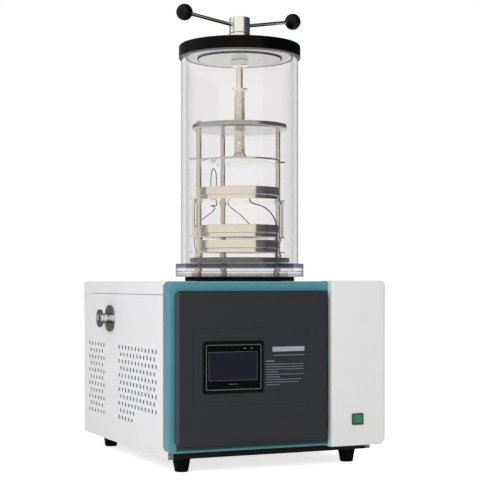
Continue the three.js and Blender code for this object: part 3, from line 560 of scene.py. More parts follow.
POWDER_WHITE = Finish("powder_white", "housing_white", (233, 233, 235), 0.48, mottle=0.012, height=0.00002)
COLUMN_WHITE = Finish("column_white", "fascia_white", (227, 227, 227), 0.42, mottle=0.01, size=0.0007)
# painted shade: the frame's right and bottom rims, next to the dark panel, are painted darker
TEAL = PaintedRimShading("teal_moulding", "teal", (82, 145, 153), 0.36, mottle=0.03, height=0.000004, size=0.0007,
               painted_rims=((0.112, 0.140, 0.050, 0.383), (-0.226, 0.140, 0.049, 0.067)))
# painted highlight: the panel's left side wall and edge are painted lighter
DARK_PANEL = PaintedRimShading("dark_panel_moulding", "dark_panel", (48, 49, 54), 0.24, mottle=0.03, smudge=0.03,
                     height=0.000002, size=0.0006, specular=0.12, rim=(68, 71, 78),
                     painted_rims=((-0.232, -0.2215, 0.057, 0.385),))
BLACK_PLASTIC = Finish("moulded_black", "black_plastic", (9, 9, 12), 0.38, mottle=0.08, smudge=0.08,
                       specular=0.08)
LID_BLACK = Finish("lid_black", "black_plastic", (4, 4, 4), 0.2, mottle=0.1, smudge=0.06,
                   relief=Relief.TURNED, specular=0.08)
KNOB_BLACK = Finish("phenolic_black", "knob_black", (12, 12, 24), 0.16, mottle=0.05, smudge=0.02,
                    height=0.000001, specular=0.16)
PAN_BLACK = Finish("pan_black", "black_metal", (20, 20, 22), 0.45, mottle=0.05, specular=0.15)
RUBBER = Finish("black_rubber", "rubber", (9, 9, 10), 0.72, mottle=0.12, height=0.00003, size=0.0009,
                specular=0.1)
CABLE = Finish("cable_sheath", "cable", (14, 14, 16), 0.5, mottle=0.08, specular=0.1)
PRINT = Finish("pale_print", "dark_panel", (158, 160, 166), 0.5)
FAINT_PRINT = Finish("faint_print", "dark_panel", (104, 106, 112), 0.5)
SCREEN_RIM = Finish("screen_rim", "aluminium", (122, 128, 140), 0.3, metallic=1.0, relief=Relief.ROLLED)
SCREEN_BLACK = Finish("screen_black", "screen", (5, 6, 8), 0.07, smudge=0.02, height=0.000001, specular=0.07)
SCREEN_NAVY = Finish("screen_navy", "screen", (28, 30, 44), 0.1, mottle=0.1, smudge=0.02, height=0.000001,
                     specular=0.08)
SWITCH_RIM = Finish("switch_rim", "switch_green", (40, 94, 72), 0.35, mottle=0.03)
SWITCH_GREEN = Finish("rocker_lens", "rocker_green", (60, 124, 103), 0.3, mottle=0.04)


def lathe_steel(name: str, shade: Shade, roughness: float, smudge: float = 0.05) -> Finish:
    """Steel with the fine rings of lathe work.

    Args:
        name: The material's name.
        shade: Its colour.
        roughness: Mean roughness.
        smudge: How far the roughness wanders.

    Returns:
        The finish.
    """
    return Finish(name, "steel", shade, roughness, 1.0, smudge=smudge, height=0.000003, size=0.0004,
                  relief=Relief.TURNED)


STEEL = lathe_steel("polished_steel", (240, 237, 235), 0.12)
SATIN_STEEL = lathe_steel("satin_steel", (243, 246, 255), 0.26, smudge=0.04)
DARK_STEEL = lathe_steel("dark_steel", (92, 92, 95), 0.2)
PLATE_STEEL = lathe_steel("plate_steel", (174, 174, 176), 0.2)
PRESS_STEEL = lathe_steel("press_steel", (212, 211, 211), 0.16)
POST_STEEL = Finish("post_steel", "steel", (212, 210, 202), 0.24, 1.0, smudge=0.05, height=0.000002)
SHAFT_STEEL = Finish("shaft_steel", "steel", (255, 253, 245), 0.28, 1.0, smudge=0.05, height=0.000002)
CHROME = Finish("bright_chrome", "steel", (176, 178, 182), 0.1, 1.0, smudge=0.03, height=0.000001)
# painted highlight: the port's shade gleams at mid height, with painted shade above and below
PORT_STEEL = LatheTurnedPaintedGleam("port_steel", "steel", (222, 222, 230), 0.16, 1.0, smudge=0.06, height=0.000004,
                         size=0.0005)
GALVANISED = Finish("zinc_sheet", "galvanised", (168, 170, 172), 0.45, 1.0, mottle=0.1, smudge=0.12,
                    size=0.004)
ALUMINIUM = Finish("rolled_aluminium", "aluminium", (182, 184, 188), 0.35, 1.0, relief=Relief.ROLLED)
BRONZE = Finish("turned_bronze", "bronze", (196, 170, 122), 0.25, 1.0, size=0.0005, relief=Relief.TURNED)
COPPER = Finish("drawn_copper", "copper", (190, 122, 84), 0.3, 1.0)
FOAM = Finish("black_foam", "foam", (40, 40, 42), 0.9, mottle=0.15, height=0.0003, size=0.002)
SILICONE = Finish("grey_silicone", "silicone", (92, 93, 100), 0.45, mottle=0.03)
ACRYLIC = ClearAcrylic("clear_acrylic", "acrylic", (140, 144, 152), 0.0, smudge=0.02, size=0.03)


# ------------------------ shaping


@dataclass(frozen=True)
class Place:
    """The box that a node of the frame fills at rest."""

    low: Vector
    high: Vector

    @classmethod
    def of(cls, node: str) -> Place:
        """The place of a named node."""
        return cls(*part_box(node))

    @property
    def middle(self) -> Vector:
        """The box's middle."""
        return (self.low + self.high) / 2

    @property
    def size(self) -> Vector:
        """The box's size."""
        return self.high - self.low

    @property
    def radius(self) -> float:
        """Half the width, for a piece turned about an upright axis."""
        return self.size.x / 2

    @property
    def foot(self) -> Vector:
        """The middle of the underside."""
        return Vector((self.middle.x, self.middle.y, self.low.z))

    @property
    def front(self) -> Rect:
        """The box in front view."""
        return Rect(self.low.x, self.high.x, self.low.z, self.high.z)


def chamber_axis() -> Vector:
    """A point on the chamber's upright axis."""
    return Place.of("chamber_tube").middle


def around(centre: Vector, radius: float, degrees: float, height: float) -> Vector:
    """A point round an upright axis.

    Args:
        centre: A point on the axis.
        radius: How far from the axis.
        degrees: Its angle from +X.
        height: Its height.

    Returns:
        The point.
    """
    turn = math.radians(degrees)
    return Vector((centre.x + radius * math.cos(turn), centre.y + radius * math.sin(turn), height))


@dataclass(frozen=True)
class Rect:
    """A rectangle in a flat section."""

    left: float
    right: float
    bottom: float
    top: float

    @classmethod
    def about(cls, u: float, v: float, width: float, height: float) -> Rect:
        """A rectangle from its middle and size."""
        return cls(u - width / 2, u + width / 2, v - height / 2, v + height / 2)

    def inset(self, by: float, right: float | None = None) -> Rect:
        """The rectangle drawn in by a margin, which may differ on the right."""
        side = by if right is None else right
        return Rect(self.left + by, self.right - side, self.bottom + by, self.top - by)

    def moved(self, by: Rect) -> Rect:
        """The rectangle with each of its sides moved by a distance of its own."""
        return Rect(self.left + by.left, self.right + by.right, self.bottom + by.bottom, self.top + by.top)

    def outline(self, left: float = 0.0, right: float | None = None, steps: int = 8) -> list[Point]:
        """The rectangle's outline with rounded corners.

        Args:
            left: Radius of the two left corners.
            right: Radius of the two right corners, as on the left if not given.
            steps: Points in a corner.

        Returns:
            The outline's points, counter-clockwise from the lower right.
        """
        radii = (left if right is None else right, left)
        corners = (
            (self.right, self.bottom, radii[0], -90), (self.right, self.top, radii[0], 0),
            (self.left, self.top, radii[1], 90), (self.left, self.bottom, radii[1], 180),
        )
        points: list[Point] = []
        for u, v, radius, start in corners:
            if radius < EPSILON:
                points.append((u, v))
                continue
            centre_u = u - radius if u == self.right else u + radius
            centre_v = v - radius if v == self.top else v + radius
            for k in range(steps + 1):
                angle = math.radians(start + 90 * k / steps)
                points.append((centre_u + radius * math.cos(angle), centre_v + radius * math.sin(angle)))
        return points


def eased(points: Sequence[Point], radius: float, closed: bool = False, steps: int = 4) -> list[Point]:
    """Rounds the corners of an outline.

    Args:
        points: The outline's corners.
        radius: How far from a corner its curve starts.
        closed: Whether the last point joins the first.
        steps: Pieces in each curve.

    Returns:
        The outline with a curve at each corner.
    """
    out: list[Point] = []
    count = len(points)
    for k, here in enumerate(points):
        if not closed and k in (0, count - 1):
            out.append(here)
            continue
        corner, before, after = Vector(here), Vector(points[k - 1]), Vector(points[(k + 1) % count])
        reach_in = min(radius, EDGE_SHARE * (before - corner).length)
        reach_out = min(radius, EDGE_SHARE * (after - corner).length)
        start = corner + (before - corner).normalized() * reach_in
        end = corner + (after - corner).normalized() * reach_out
        for step in range(steps + 1):
            t = step / steps
            out.append(tuple(start * (1 - t) ** 2 + corner * 2 * t * (1 - t) + end * t ** 2))
    return out


def settle(piece: Piece) -> Piece:
    """Makes a piece's normals point out, its rounds smooth and its edges crisp.

    Args:
        piece: The piece, which is changed.

    Returns:
        The same piece.
    """
    bm = bmesh.new()
    bm.from_mesh(piece.data)
    bmesh.ops.remove_doubles(bm, verts=bm.verts, dist=WELD)
    bmesh.ops.recalc_face_normals(bm, faces=bm.faces)
    for face in bm.faces:
        face.smooth = True
    for edge in bm.edges:
        edge.smooth = len(edge.link_faces) == 2 and edge.calc_face_angle(0.0) < SHARP
    bm.to_mesh(piece.data)
    bm.free()
    return piece


def made(name: str, bm: bmesh.types.BMesh, at: Vector | None = None) -> Piece:
    """Turns a mesh being built into a piece of the scene.

    Args:
        name: The piece's name.
        bm: The mesh, which is freed.
        at: Where the piece's origin goes.

    Returns:
        The new piece.
    """
    mesh = bpy.data.meshes.new(name)
    bm.to_mesh(mesh)
    bm.free()
    piece = bpy.data.objects.new(name, mesh)
    bpy.context.scene.collection.objects.link(piece)
    piece.location = at or Vector()
    return settle(piece)


def lofted(rings: Sequence[Ring], capped: bool) -> bmesh.types.BMesh:
    """Joins rings of points by faces.

    Args:
        rings: Closed rings, each of one point or of as many as the others.
        capped: Whether the first and last ring are closed with a face. If not, they join each other.

    Returns:
        The mesh.
    """
    bm = bmesh.new()
    rows = [[bm.verts.new(point) for point in ring] for ring in rings]
    pairs = list(zip(rows, rows[1:]))
    if not capped:
        pairs.append((rows[-1], rows[0]))
    for lower, upper in pairs:
        count = max(len(lower), len(upper))
        if count == 1:
            continue
        for k in range(count):
            following = (k + 1) % count
            corners = [lower[k % len(lower)], lower[following % len(lower)],
                       upper[following % len(upper)], upper[k % len(upper)]]
            bm.faces.new(list(dict.fromkeys(corners)))
    if capped:
        for row in (rows[0], rows[-1]):
            if len(row) > 2:
                bm.faces.new(row)
    return bm


def level_ring(radius: float, height: float, count: int, axis: Axis = Axis.Z) -> Ring:
    """A ring of points about an axis.

    Args:
        radius: Its radius. Without one it is a single point.
        height: Where it lies along the axis.
        count: Points in it.
        axis: The axis.

    Returns:
        The points.
    """
    if radius < EPSILON:
        return [axis.place(0, 0, height)]
    angles = [2 * math.pi * k / count for k in range(count)]
    return [axis.place(radius * math.cos(a), radius * math.sin(a), height) for a in angles]


def band(inner: float, outer: float, bottom: float, top: float) -> list[Point]:
    """The profile of a plain ring or, with no bore, of a plain disc or bar.

    Args:
        inner: Radius of the bore, 0 for none.
        outer: Radius of the rim.
        bottom: Where it starts along the axis.
        top: Where it ends.

    Returns:
        The profile's corners.
    """
    return [(inner, bottom), (outer, bottom), (outer, top), (inner, top)]


def turned(name: str, profile: Sequence[Point], at: Vector, segments: int = ROUND,
           axis: Axis = Axis.Z) -> Piece:
    """Turns a profile about an axis.

    Args:
        name: The piece's name.
        profile: Points of radius and height. It starts and ends on the axis, or closes on itself.
        at: The point that height zero lies at.
        segments: Faces round it.
        axis: The axis that it is turned about.

    Returns:
        The turned piece.
    """
    rings = [level_ring(radius, height, segments, axis) for radius, height in profile]
    return made(name, lofted(rings, capped=profile[0][0] < EPSILON), at)


def prism(name: str, outline: Sequence[Point], start: float, end: float, axis: Axis,
          bevel: float = 0.0, at: Vector | None = None) -> Piece:
    """Runs a flat outline along an axis, with its end edges eased.

    Args:
        name: The piece's name.
        outline: The outline's points.
        start: Where the run starts.
        end: Where it ends.
        axis: The direction of the run.
        bevel: Width of the eased end edges.
        at: Where the piece's origin goes.

    Returns:
        The piece.
    """
    rings = [[axis.place(u, v, along) for u, v in outline] for along in (start, end)]
    bm = lofted(rings, capped=True)
    if bevel > 0:
        bmesh.ops.recalc_face_normals(bm, faces=bm.faces)
        ends = [face for face in bm.faces if len(face.verts) == len(outline)]
        edges = list({edge for face in ends[-2:] for edge in face.edges})
        bmesh.ops.bevel(bm, geom=edges, offset=bevel, segments=3, profile=0.5, affect="EDGES")
    return made(name, bm, at)


def moulded(name: str, rect: Rect, front: float, rear: float, corners: Point, edges: Point,
            wall: float, steps: int = 8) -> Piece:
    """A moulded cover, open at the back, with a rounded front edge and one wall thickness.

    Args:
        name: The piece's name.
        rect: Its outline in front view.
        front: Where its face lies in Y.
        rear: Where its rim lies in Y.
        corners: Corner radius on the left and on the right.
        edges: Radius of the front edge on the left, top and bottom, and on the right.
        wall: Thickness of the wall.
        steps: Pieces in each round.

    Returns:
        The cover.
    """
    def ring(inset: float, inset_right: float, y: float) -> Ring:
        """One ring of the cover.

        Args:
            inset: How far it is drawn in on the left, top and bottom.
            inset_right: How far on the right.
            y: Its depth.

        Returns:
            Its points.
        """
        left = max(corners[0] - inset, LEAST_CORNER)
        right = max(corners[1] - inset_right, LEAST_CORNER)
        outline = rect.inset(inset, inset_right).outline(left, right, steps)
        return [Axis.Y.place(u, v, y) for u, v in outline]

    rings = []
    for k in range(steps + 1):
        angle = math.pi / 2 * k / steps
        share = 1 - math.sin(angle)
        rings.append(ring(edges[0] * share, edges[1] * share, front + edges[0] * (1 - math.cos(angle))))
    rings += [ring(0, 0, rear), ring(wall, wall, rear), ring(wall, wall, front + wall)]
    return made(name, lofted(rings, capped=True))


def joined(name: str, pieces: Sequence[Piece]) -> Piece:
    """Makes one piece of several.

    Args:
        name: The joint piece's name.
        pieces: The pieces, which are used up.

    Returns:
        The joint piece, with its origin where the first one's is.
    """
    origin = pieces[0].location.copy()
    bm = bmesh.new()
    for piece in pieces:
        mesh = piece.data
        mesh.transform(Matrix.Translation(-origin) @ piece.matrix_basis)
        bm.from_mesh(mesh)
        bpy.data.objects.remove(piece)
        bpy.data.meshes.remove(mesh)
    return made(name, bm, origin)


def combined(piece: Piece, tool: Piece, operation: str) -> Piece:
    """Cuts a tool out of a piece or joins it on.

    Args:
        piece: The piece that is changed.
        tool: The tool, which is used up.
        operation: DIFFERENCE or UNION.

    Returns:
        The piece.
    """
    modifier = piece.modifiers.new("form", "BOOLEAN")
    modifier.operation = operation
    modifier.solver = "EXACT"
    modifier.object = tool
    bpy.context.view_layer.update()
    shaped = bpy.data.meshes.new_from_object(piece.evaluated_get(bpy.context.evaluated_depsgraph_get()))
    piece.modifiers.clear()
    old, piece.data = piece.data, shaped
    bpy.data.meshes.remove(old)
    bpy.data.objects.remove(tool)
    return settle(piece)


def cut(piece: Piece, tools: Sequence[Piece]) -> Piece:
    """Cuts several tools, which don't meet each other, out of a piece."""
    return combined(piece, joined("tool", tools), "DIFFERENCE")


def dress(piece: Piece, finish: Finish, body: Body, *nodes: str) -> Piece:
    """Gives a piece its finish, lets it ride on its body and hides the nodes that it stands for.

    Args:
        piece: The piece.
        finish: Its finish.
        body: The body that it moves with.
        nodes: The nodes of the frame that it stands for.

    Returns:
        The piece.
    """
    piece.data.materials.clear()
    piece.data.materials.append(finish.material())
    if piece.type == "MESH":
        piece.modifiers.new("even_shading", "WEIGHTED_NORMAL").keep_sharp = True
    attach(piece, body.value)
    if nodes:
        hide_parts(*nodes)
    LOG.info("%s in %s rides on %s", piece.name, finish.name, body.value)
    return piece


@dataclass
class SubAssembly:
    """Pieces that are built and dressed together."""

    def build(self) -> None:
        """Makes the sub-assembly's pieces."""
        raise NotImplementedError


# ------------------------ housing


@dataclass
class Feet(SubAssembly):
    """Four tapered rubber feet."""

    foot_radius: float = 0.014
    top_radius: float = 0.019
    top_rim: float = 0.003
    hollow_radii: Point = (0.004, 0.005)
    hollow_depth: float = 0.006
    ease: float = 0.002
    names: tuple[str, ...] = ("front_left", "front_right", "rear_left", "rear_right")

    def build(self) -> None:
        """Turns the four feet, each with a screw's hollow underneath."""
        (inner, mouth), depth = self.hollow_radii, self.hollow_depth
        for name in self.names:
            place = Place.of(f"foot_{name}")
            top = place.size.z
            profile = [
                (0, depth), (inner, depth), (mouth, 0), (self.foot_radius, 0),
                (self.top_radius, top - self.top_rim), (self.top_radius, top), (0, top),
            ]
            foot = turned(f"rubber_foot_{name}", eased(profile, self.ease), place.foot, BAR_ROUND)
            dress(foot, RUBBER, Body.ROOT, f"foot_{name}")


@dataclass(frozen=True)
class VentField:
    """A staggered field of vent holes in the side panel."""

    start: float
    columns: int
    short_rows: int = 0
    short_columns: int = 0

    def holes(self, rows: int) -> list[tuple[float, int]]:
        """The holes of the field.

        Args:
            rows: Number of rows, counted from the top.

        Returns:
            For each hole its distance along the panel in columns and its row.
        """
        found = []
        for row in range(rows):
            shift = row % 2
            columns = self.columns - shift
            first = columns - self.short_columns if row >= rows - self.short_rows else 0
            found += [(k + shift / 2, row) for k in range(first, columns)]
        return found


@dataclass
class Housing(SubAssembly):
    """The folded sheet-steel housing: side panels, rear panel and top cover."""

    sheet: float = 0.0015
    fold: float = 0.003
    flange: float = 0.014
    edge: float = 0.0004
    cover_edge: float = 0.0008
    vent: float = 0.009
    vent_corner: float = 0.0016
    column_pitch: float = 0.022
    row_pitch: float = 0.016
    rows: int = 11
    from_roof: float = 0.150  # down to the first row of vents
    from_rear: float = 0.6  # forward to the line that the vents are measured from
    fields: tuple[VentField, ...] = (VentField(0.090, 12, 2, 5), VentField(0.444, 6))
    port_hole: float = 0.0122
    slot_size: Point = (0.084, 0.008)
    slot_pitch: Point = (0.096, 0.022)
    slots: tuple[int, int] = (2, 7)
    inlet_lap: float = 0.006  # how much smaller than the inlet its cut-out is
    trap_margin: float = 0.0075  # how far inside the coil's rim the roof's hole ends
    steps: int = 8

    def build(self) -> None:
        """Makes the panels and the cover."""
        self.left_panel()
        self.right_panel()
        self.rear_panel()
        self.top_cover()

    def folded_panel(self, name: str, node: str, side: int) -> Piece:
        """A side panel with a flange folded in at the front and at the rear.

        Args:
            name: The piece's name.
            node: The node that it stands for.
            side: -1 on the left, 1 on the right.

        Returns:
            The panel.
        """
        place = Place.of(node)
        outer = place.low.x if side < 0 else place.high.x
        face = outer - side * self.sheet
        inner = outer - side * self.flange
        front, rear = place.low.y, place.high.y
        outline = [
            (outer, front), (inner, front), (inner, front + self.sheet), (face, front + self.sheet),
            (face, rear - self.sheet), (inner, rear - self.sheet), (inner, rear), (outer, rear),
        ]
        outline = eased(outline, SOFT_EDGE, closed=True)
        return prism(name, outline, place.low.z, place.high.z, Axis.Z, self.edge)

    def left_panel(self) -> None:
        """The pierced panel on the left, with the hole for the vacuum port."""
        place = Place.of("left_side_panel")
        panel = self.folded_panel("vented_side_panel", "left_side_panel", -1)
        roof = Place.of("top_cover").high.z
        origin = Place.of("rear_panel").high.y - self.from_rear
        left, right = place.low.x - self.sheet, place.low.x + 2 * self.sheet
        tools = []
        for vents in self.fields:
            for column, row in vents.holes(self.rows):
                y = origin + vents.start + column * self.column_pitch
                z = roof - self.from_roof - row * self.row_pitch
                hole = Rect.about(y, z, self.vent, self.vent).outline(self.vent_corner, steps=3)
                tools.append(prism("vent", hole, left, right, Axis.X))
        port = Place.of("vacuum_port")
        at = Vector((0, port.middle.y, port.middle.z))
        tools.append(turned("bore", band(0, self.port_hole, left, right), at, BAR_ROUND, Axis.X))
        dress(cut(panel, tools), POWDER_WHITE, Body.ROOT, "left_side_panel")

    def right_panel(self) -> None:
        """The plain panel on the right."""
        panel = self.folded_panel("plain_side_panel", "right_side_panel", 1)
        dress(panel, POWDER_WHITE, Body.ROOT, "right_side_panel")

    def rear_panel(self) -> None:
        """The rear panel with its exhaust slots and the cut-out for the power inlet."""
        place = Place.of("rear_panel")
        outline = place.front.outline(SOFT_EDGE, steps=3)
        panel = prism("slotted_rear_panel", outline, place.low.y, place.high.y, Axis.Y, self.edge)
        fan = Place.of("fan_shroud").middle
        front, rear = place.low.y - self.sheet, place.high.y + self.sheet
        tools = []
        columns, rows = self.slots
        for row in range(rows):
            z = fan.z + (row - (rows - 1) / 2) * self.slot_pitch[1]
            for column in range(columns):
                x = fan.x + (column - (columns - 1) / 2) * self.slot_pitch[0]
                slot = Rect.about(x, z, *self.slot_size).outline(self.slot_size[1] / 2 - EPSILON, steps=5)
                tools.append(prism("slot", slot, front, rear, Axis.Y))
        inlet, lap = Place.of("power_inlet"), self.inlet_lap
        hole = Rect.about(inlet.middle.x, inlet.middle.z, inlet.size.x - lap, inlet.size.z - lap)
        tools.append(prism("inlet_hole", hole.outline(), front, rear, Axis.Y))
        dress(cut(panel, tools), POWDER_WHITE, Body.ROOT, "rear_panel")

    def top_cover(self) -> None:
        """The roof, folded down at both sides and at the rear, with the hole for the cold trap."""
        place = Place.of("top_cover")
        centre = chamber_axis()

        def section(inset: float, low: float) -> list[Point]:
            """The cover's outline in front view.

            Args:
                inset: How far it is drawn in.
                low: Height of its lower edge.

            Returns:
                The outline's points.
            """
            left, right, top = place.low.x + inset, place.high.x - inset, place.high.z - inset
            radius = self.fold - inset
            points = [(left, low), (right, low)]
            for middle, start in ((right - radius, 0), (left + radius, 90)):
                for k in range(self.steps + 1):
                    angle = math.radians(start + 90 * k / self.steps)
                    out, up = radius * math.cos(angle), radius * math.sin(angle)
                    points.append((middle + out, top - radius + up))
            return points

        front, rear = place.low.y, place.high.y
        cover = prism("folded_top_cover", section(0, place.low.z), front, rear, Axis.Y, self.cover_edge)
        hollow = section(self.sheet, place.low.z - RUN)
        cover = cut(cover, [prism("hollow", hollow, front - RUN, rear - self.sheet, Axis.Y)])
        disc = band(0, Place.of("evaporator_coil").radius - self.trap_margin, -RUN, RUN)
        hole = turned("trap_hole", disc, Vector((centre.x, centre.y, place.high.z)))
        dress(cut(cover, [hole]), POWDER_WHITE, Body.ROOT, "top_cover")


@dataclass
class PowerInlet(SubAssembly):
    """The mains inlet on the rear panel, with its three contact blades."""

    lip: float = 0.003
    corner: float = 0.003
    edge: float = 0.0006
    body_margin: float = 0.0033
    pocket_height: float = 0.0146
    pocket_corner: float = 0.002
    pocket_depth: float = 0.012
    blade: tuple[float, float, float] = (0.002, 0.009, 0.005)
    blade_corner: float = 0.0004
    blade_edge: float = 0.0003
    blade_places: tuple[Point, ...] = ((-0.007, -0.002), (0.0, 0.002), (0.007, -0.002))

    def build(self) -> None:
        """Makes the socket and its blades."""
        place = Place.of("power_inlet")
        middle, rear = place.middle, place.high.y
        flange = Rect.about(middle.x, middle.z, place.size.x, place.size.z)
        socket = prism("mains_inlet", flange.outline(self.corner), rear - self.lip, rear, Axis.Y, self.edge)
        block = flange.inset(self.body_margin).outline(SOFT_EDGE)
        body = prism("inlet_body", block, place.low.y, rear - self.lip / 3, Axis.Y)  # ends in the lip
        socket = combined(socket, body, "UNION")
        pocket = flange.inset((place.size.z - self.pocket_height) / 2).outline(self.pocket_corner)
        floor = rear - self.pocket_depth
        dress(cut(socket, [prism("inlet_hollow", pocket, floor, rear + RUN, Axis.Y)]), BLACK_PLASTIC,
              Body.ROOT, "power_inlet")
        width, depth, height = self.blade
        blades = []
        for x, z in self.blade_places:
            outline = Rect.about(middle.x + x, middle.z + z, width, height).outline(self.blade_corner)
            blades.append(prism("blade", outline, floor, floor + depth, Axis.Y, self.blade_edge))
        dress(joined("inlet_blades", blades), CHROME, Body.ROOT)


# ------------------------ fascia


@dataclass
class Fascia(SubAssembly):
    """The moulded front: teal frame, dark control panel and white column."""

    wall: float = 0.003
    frame_edge: float = 0.004
    frame_corner: float = 0.013
    panel_edge: float = 0.007
    panel_corner: float = 0.012
    seat: float = 0.008
    column_edges: Point = (0.003, 0.010)
    column_corner: float = 0.014
    recess: Rect = Rect(0.047, -0.048, 0.096, -0.097)  # its sides from those of the frame
    recess_corner: float = 0.003
    recess_depth: float = 0.0012
    recess_ease: float = 0.0007
    screen_corner: float = 0.005
    switch_lap: float = 0.0018  # how far the switch's rim covers the column

    def build(self) -> None:
        """Makes the three mouldings and the print on the panel."""
        self.frame()
        self.panel()
        self.column()

    @staticmethod
    def window(outline: list[Point], front: float) -> Piece:
        """A tool that cuts a window through a moulding.

        Args:
            outline: The window's outline in front view.
            front: Where the moulding's face lies in Y.

        Returns:
            The tool.
        """
        return prism("window", outline, front - RUN, front + RUN, Axis.Y)

    def frame(self) -> None:
        """The teal frame that wraps back over the housing."""
        place = Place.of("fascia_frame")
        frame = moulded("teal_frame", place.front, place.low.y, place.high.y,
                        (self.frame_corner, LEAST_CORNER), (self.frame_edge, 0.0), self.wall)
        hole = Place.of("control_panel").front.inset(self.seat).outline(self.panel_corner - self.seat)
        dress(cut(frame, [self.window(hole, place.low.y)]), TEAL, Body.ROOT, "fascia_frame")

    def panel(self) -> None:
        """The dark panel, with a shallow recess and the window for the touch screen."""
        place, screen = Place.of("control_panel"), Place.of("screen_bezel")
        front = place.low.y
        corners, edges = (self.panel_corner,) * 2, (self.panel_edge,) * 2
        panel = moulded("dark_control_panel", place.front, front, place.high.y, corners, edges, self.wall)
        hollow, ease = Place.of("fascia_frame").front.moved(self.recess), self.recess_ease
        rings = []
        for inset, depth in ((-ease, -RUN), (-ease, 0.0), (ease, self.recess_depth)):
            outline = hollow.inset(inset).outline(self.recess_corner)
            rings.append([Axis.Y.place(u, v, front + depth) for u, v in outline])
        panel = cut(panel, [made("recess", lofted(rings, capped=True))])
        window = self.window(screen.front.inset(-GAP).outline(self.screen_corner), front)
        dress(cut(panel, [window]), DARK_PANEL, Body.ROOT, "control_panel")
        PanelPrint(face=front + self.recess_depth, level=screen.middle.z).build()

    def column(self) -> None:
        """The white column on the right, with the window for the power switch."""
        place = Place.of("fascia_column")
        column = moulded("white_column", place.front, place.low.y, place.high.y,
                         (LEAST_CORNER, self.column_corner), self.column_edges, self.wall)
        hole = Place.of("switch_frame").front.inset(self.switch_lap).outline()
        dress(cut(column, [self.window(hole, place.low.y)]), COLUMN_WHITE, Body.ROOT, "fascia_column")


@dataclass
class PanelPrint(SubAssembly):
    """Plain printed bars on the control panel, where such a panel has its heading and notes."""

    face: float
    level: float
    thick: float = 0.00012
    round_height: float = 0.002  # from here on a bar's corners stay the same
    left: float = -0.0286
    heading: Four = (-0.0133, 0.0615, 0.0353, 0.0100)
    underline: Four = (-0.0125, 0.0615, 0.0223, 0.0018)
    note_title: Four = (-0.0286, -0.0085, 0.0104, 0.0030)
    note_top: float = 0.0038
    note_pitch: float = 0.0054
    note_height: float = 0.0017
    note_ends: tuple[float, ...] = (0.060, 0.059, 0.060, 0.0, 0.061, 0.0035, 0.055, 0.048, 0.004)

    def bar(self, left: float, right: float, z: float, height: float) -> Piece:
        """One printed bar.

        Args:
            left: Where it starts.
            right: Where it ends.
            z: Its height above the screen's middle.
            height: How tall it is.

        Returns:
            The bar.
        """
        rect = Rect.about((left + right) / 2, self.level + z, right - left, height)
        outline = rect.outline(min(height, self.round_height) / 3, steps=3)
        return prism("bar", outline, self.face - self.thick, self.face, Axis.Y)

    def build(self) -> None:
        """Prints the heading block, its underline and the lines of the note."""
        dress(joined("panel_heading", [self.bar(*self.heading)]), PRINT, Body.ROOT)
        bars = [self.bar(*self.underline), self.bar(*self.note_title)]
        for k, end in enumerate(self.note_ends):
            z = self.note_top - k * self.note_pitch
            bars.append(self.bar(self.left, end, z, self.note_height))
        dress(joined("panel_notes", bars), FAINT_PRINT, Body.ROOT)


